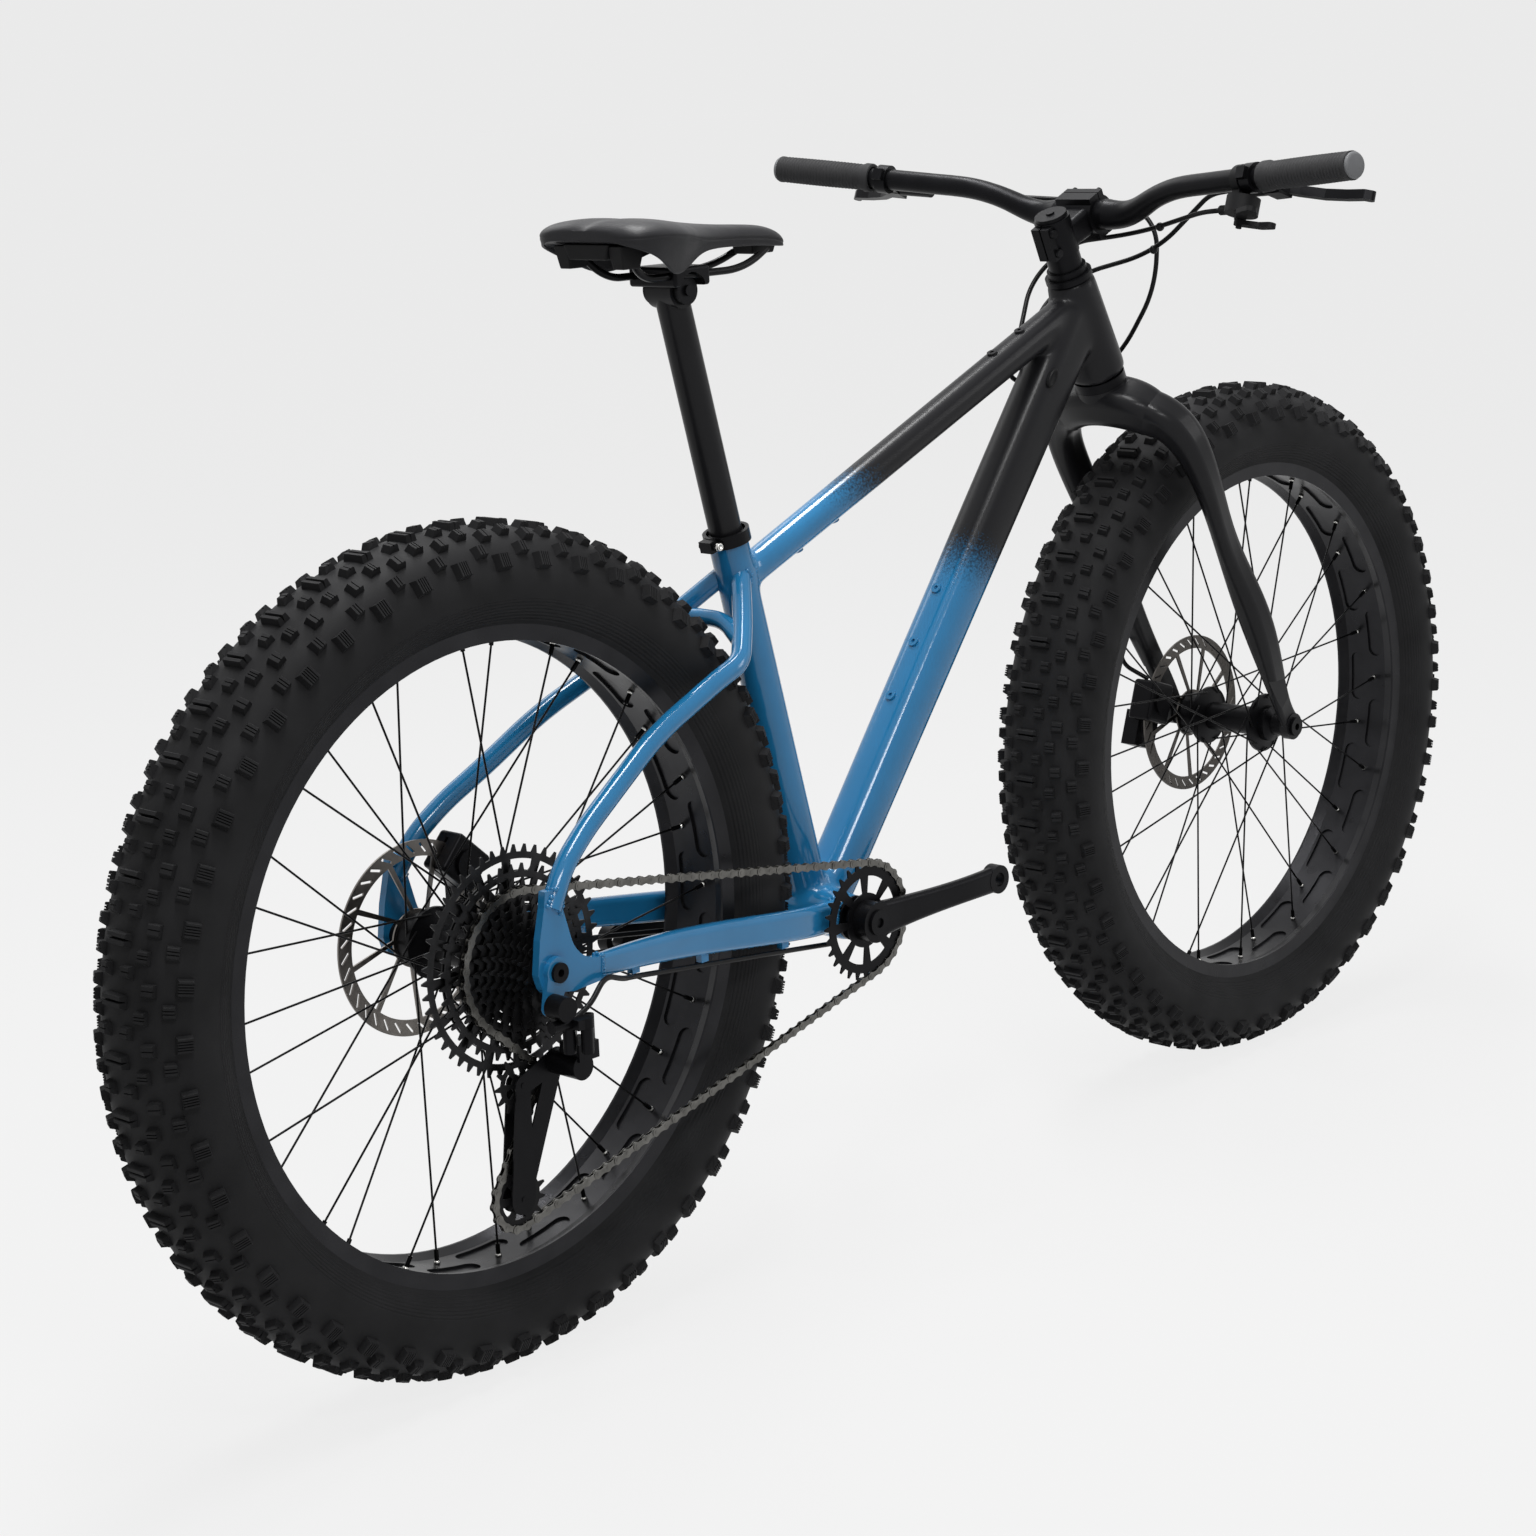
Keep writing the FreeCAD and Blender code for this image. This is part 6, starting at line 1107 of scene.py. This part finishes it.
@dataclass
class Seat:
    """Seatpost, clamp, rails and the padded saddle."""

    groove_mm: float = 2.0
    wall_mm: float = 4.0
    # place along the bike, half width, top, underside, skirt edge and its half width, in mm
    rows: tuple = (
        (-407.5, 40.0, 1002.0, 995.0, 993.5, 39.0), (-406.0, 50.0, 1005.0, 993.0, 991.0, 48.5),
        (-400.0, 61.0, 1008.5, 990.5, 987.5, 59.0), (-390.0, 68.5, 1010.5, 989.0, 984.0, 66.0),
        (-375.0, 72.0, 1011.3, 988.0, 977.5, 67.0), (-360.0, 70.8, 1010.7, 987.0, 969.0, 61.0),
        (-347.0, 67.5, 1009.6, 986.0, 961.5, 54.5), (-335.0, 62.8, 1008.3, 985.0, 959.0, 49.0),
        (-322.0, 56.3, 1006.5, 984.0, 960.5, 44.0), (-308.0, 48.6, 1004.5, 983.0, 965.5, 39.5),
        (-293.0, 41.0, 1002.6, 982.0, 972.5, 35.0), (-278.0, 34.8, 1000.8, 981.0, 976.0, 31.2),
        (-262.0, 29.5, 999.2, 980.0, 976.8, 27.5), (-242.0, 25.0, 997.4, 979.0, 976.8, 23.6),
        (-220.0, 22.4, 995.9, 978.5, 976.0, 21.4), (-198.0, 21.2, 994.6, 977.5, 975.0, 20.4),
        (-180.0, 20.0, 992.4, 976.0, 973.5, 19.4), (-166.0, 17.2, 988.2, 974.8, 972.4, 16.8),
        (-156.0, 12.8, 982.6, 973.8, 971.6, 12.4), (-150.5, 7.0, 977.0, 973.2, 971.6, 6.8),
    )

    def build(self) -> list[Piece]:
        """Dress the solids, pad the saddle and hang the rail sockets under it.

        Returns:
            The saddle pad and its sockets.
        """
        dress_nodes({"seatpost": BLACK_ENAMEL, "saddle_clamp": ANODISED, "saddle_rails": WIRE_BLACK})
        pad = make_object("saddle_pad", self.cover())
        dress(pad, COVER)
        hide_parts("saddle")
        base = make_object("saddle_sockets", self.sockets())
        dress(base, NYLON)
        for piece in (pad, base):
            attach(piece, frame_body("saddle"))
        return [pad, base]

    def outline(self, half: float, top: float, under: float, edge: float,
                foot: float) -> list[tuple[float, float]]:
        """Right half of one cross-section, from the middle of the top to the middle of the underside.

        Args:
            half: half width in mm.
            top: height of the top in mm.
            under: height of the underside in mm.
            edge: height of the skirt's lower edge in mm.
            foot: half width at that edge in mm.

        Returns:
            Points across and up in mm.
        """
        deep = top - edge
        drop = min(7.0, 0.3 * deep)
        turn = top - drop - min(7.0, 0.28 * deep)
        groove = self.groove_mm * min(1.0, half / 30.0)
        wall = min(self.wall_mm, foot * 0.3)
        line = [(0.0, top - groove), (0.1 * half, top - 0.75 * groove), (0.22 * half, top - 0.05),
                (0.4 * half, top - 0.06 * drop), (0.6 * half, top - 0.25 * drop),
                (0.78 * half, top - 0.52 * drop), (0.91 * half, top - drop),
                (0.98 * half, top - 0.5 * (drop + top - turn)), (half, turn),
                (half - 1.2, turn - 1.1), (half - 0.3, turn - 2.2)]
        for share in (0.3, 0.55, 0.8):
            bend = -1.5 * math.sin(math.pi * share) * min(1.0, deep / 40.0)
            line.append((half + (foot - half) * share + bend, turn - 2.2 + (edge - turn + 2.2) * share))
        line += [(foot, edge + 0.6), (foot - 0.3 * wall, edge), (foot - 0.8 * wall, edge + 0.2),
                 (foot - wall, edge + 0.5 * (under - edge)), (foot - 1.3 * wall, under), (0.45 * foot, under),
                 (0.0, under)]
        return line

    def cover(self) -> Mesh:
        """Padded top with skirts that come down over the rails."""
        verts = []
        for along, *shape in self.rows:
            half = self.outline(*shape)
            ring = half + [(-y, z) for y, z in reversed(half[1:-1])]
            verts += [(along * MM, y * MM, z * MM) for y, z in ring]
        count = len(verts) // len(self.rows)
        faces = []
        for a in range(0, (len(self.rows) - 1) * count, count):
            for k in range(count):
                after = (k + 1) % count
                faces.append((a + k, a + count + k, a + count + after, a + after))
        half = count // 2
        for start in (0, (len(self.rows) - 1) * count):
            for k in range(half):
                corners = (k, k + 1, (count - k - 1) % count, (count - k) % count)
                faces.append(tuple(start + c for c in dict.fromkeys(corners)))
        obj = make_object("saddle_rows", mended(mesh_of("saddle_cover", verts, faces), slivers=True))
        finer = obj.modifiers.new("finer", "SUBSURF")
        finer.levels = 2
        finer.render_levels = 2
        return soft_shaded(bake(obj))

    def sockets(self) -> Mesh:
        """Moulded blocks that hold the rail ends under the tail and the nose."""
        work = bmesh.new()
        blocks = (
            ((-384.0, 34.0, 978.0), (30.0, 19.0, 21.0), 0.7),
            ((-384.0, -34.0, 978.0), (30.0, 19.0, 21.0), 0.7),
            ((-393.0, 0.0, 983.0), (16.0, 58.0, 14.0), 0.8),
            ((-184.0, 0.0, 972.0), (34.0, 27.0, 10.0), 0.85),
        )
        for spot, size, taper in blocks:
            made = bmesh.ops.create_cube(work, size=1.0)["verts"]
            for vert in made:
                share = taper if vert.co.z < 0 else 1.0
                reach = Vector((size[0] * share, size[1] * share, size[2]))
                vert.co = (Vector(spot) + vert.co * reach) * MM
        bmesh.ops.bevel(work, geom=work.edges[:], offset=1.6 * MM, segments=3, affect="EDGES", profile=0.6)
        mesh = bpy.data.meshes.new("saddle_sockets")
        work.to_mesh(mesh)
        work.free()
        return mesh


def frame_body(node: str) -> str:
    """Name of the body that carries a solid."""
    carrier = frame["nodes"][node].parent
    return next(name for name, empty in frame["bodies"].items() if empty == carrier)


# Studio


@dataclass
class Studio:
    """Pale floor, soft lamps and the camera of the picture."""

    spot: tuple = (-2.33716, -2.03351, 1.14719)
    yaw: float = 0.759
    pitch: float = -0.2236
    roll: float = -0.0404
    focal_px: float = 3135.77
    pale: str = "#f1f1f1"
    floor_half: float = 40.0
    floor_glow: float = 0.93
    world_light: float = 0.1
    aim: tuple = (0.0, 0.0, 0.45)
    sensor_mm: float = 36.0
    picture_px: int = 1536

    def build(self) -> None:
        """Make the floor, world, lamps and camera."""
        self.floor()
        self.world()
        self.lamp("key", (-1.9, -2.5, 3.0), (1.3, 0.45), 36.0)
        self.lamp("fill", (2.6, -2.4, 1.9), (0.6, 1.6), 14.0)
        self.lamp("back", (0.4, 3.0, 2.8), (2.4, 1.0), 16.0)
        self.lamp("top", (-0.1, 0.1, 3.2), (3.2, 0.5), 122.0)
        self.camera()
        bpy.context.scene.view_settings.view_transform = "Standard"

    def floor(self) -> None:
        """Wide matte floor."""
        half = self.floor_half
        corners = [(-half, -half, 0), (half, -half, 0), (half, half, 0), (-half, half, 0)]
        mesh = mesh_of("floor", corners, [(0, 1, 2, 3)])
        floor = make_object("studio_floor", mesh)
        paint = bpy.data.materials.new("painted_studio_floor")
        paint.use_nodes = True
        tree = paint.node_tree
        tree.nodes.clear()
        shown = self.shown(tree)
        seen = add(tree, "ShaderNodeMath", {0: shown, 1: self.floor_glow}, operation="MULTIPLY")
        matte = add(tree, "ShaderNodeBsdfDiffuse", {"Color": linear(self.pale)})
        glow = add(tree, "ShaderNodeEmission", {"Color": linear(self.pale), "Strength": 1.0})
        mix = add(tree, "ShaderNodeMixShader", {
            0: seen.outputs["Value"], 1: matte.outputs["BSDF"], 2: glow.outputs["Emission"],
        })
        add(tree, "ShaderNodeOutputMaterial", {"Surface": mix.outputs["Shader"]})
        mesh.materials.append(paint)

    def shown(self, tree: Tree) -> Socket:
        """1 for rays that show the surroundings themselves, directly, in a reflection or through glass."""
        path = add(tree, "ShaderNodeLightPath").outputs
        direct = add(tree, "ShaderNodeMath", {
            0: path["Is Camera Ray"], 1: path["Is Glossy Ray"],
        }, operation="MAXIMUM")
        return add(tree, "ShaderNodeMath", {
            0: direct.outputs["Value"], 1: path["Is Transmission Ray"],
        }, operation="MAXIMUM").outputs["Value"]

    def world(self) -> None:
        """Even pale surroundings."""
        world = bpy.data.worlds.new("studio")
        world.use_nodes = True
        tree = world.node_tree
        tree.nodes.clear()
        glow = add(tree, "ShaderNodeBackground", {"Color": linear("#ffffff"), "Strength": self.world_light})
        level = self.floor_glow + (1 - self.floor_glow) * self.world_light
        back = add(tree, "ShaderNodeBackground", {"Color": linear(self.pale), "Strength": level})
        mix = add(tree, "ShaderNodeMixShader", {
            0: self.shown(tree), 1: glow.outputs["Background"], 2: back.outputs["Background"],
        })
        add(tree, "ShaderNodeOutputWorld", {"Surface": mix.outputs["Shader"]})
        bpy.context.scene.world = world

    def lamp(self, name: str, spot: tuple, size: tuple, power: float) -> None:
        """Soft box that faces the bike.

        Args:
            name: lamp name.
            spot: its place in metres.
            size: width and depth in metres.
            power: power in watts.
        """
        light = bpy.data.lights.new(name, "AREA")
        light.shape = "RECTANGLE"
        light.size, light.size_y = size
        light.energy = power
        obj = bpy.data.objects.new(name, light)
        obj.location = spot
        way = Vector(self.aim) - Vector(spot)
        obj.rotation_euler = way.to_track_quat("-Z", "Y").to_euler()
        bpy.context.scene.collection.objects.link(obj)

    def camera(self) -> None:
        """Camera at the angle of the picture."""
        lens = bpy.data.cameras.new("camera")
        lens.sensor_width = self.sensor_mm
        lens.lens = self.sensor_mm * self.focal_px / self.picture_px
        lens.clip_end = 200.0
        ahead = Vector((math.cos(self.pitch) * math.cos(self.yaw), math.cos(self.pitch) * math.sin(self.yaw),
                        math.sin(self.pitch)))
        right = ahead.cross(Vector((0, 0, 1))).normalized()
        rise = right.cross(ahead)
        side = right * math.cos(self.roll) + rise * math.sin(self.roll)
        top = rise * math.cos(self.roll) - right * math.sin(self.roll)
        turn = Matrix((side, top, -ahead)).transposed().to_4x4()
        obj = bpy.data.objects.new("camera", lens)
        obj.matrix_world = Matrix.Translation(Vector(self.spot)) @ turn
        bpy.context.scene.collection.objects.link(obj)
        bpy.context.scene.camera = obj


def main() -> None:
    """Build the bike in order and report each piece."""
    logging.basicConfig(level=logging.INFO, format="%(message)s")
    scatter = Scatter()
    groups = (
        FrameShell(scatter=scatter),
        Wheel(End.FRONT, FRONT, frame_body("front_rim"), scatter, "#565350"),
        Wheel(End.REAR, REAR, frame_body("rear_rim"), scatter),
        Cockpit(),
        Drivetrain(),
        Seat(),
    )
    for group in groups:
        for piece in group.build():
            LOG.info("%s: %s, %d faces", type(group).__name__, piece.name, len(piece.data.polygons))
    Studio().build()


if __name__ == "__main__":
    main()
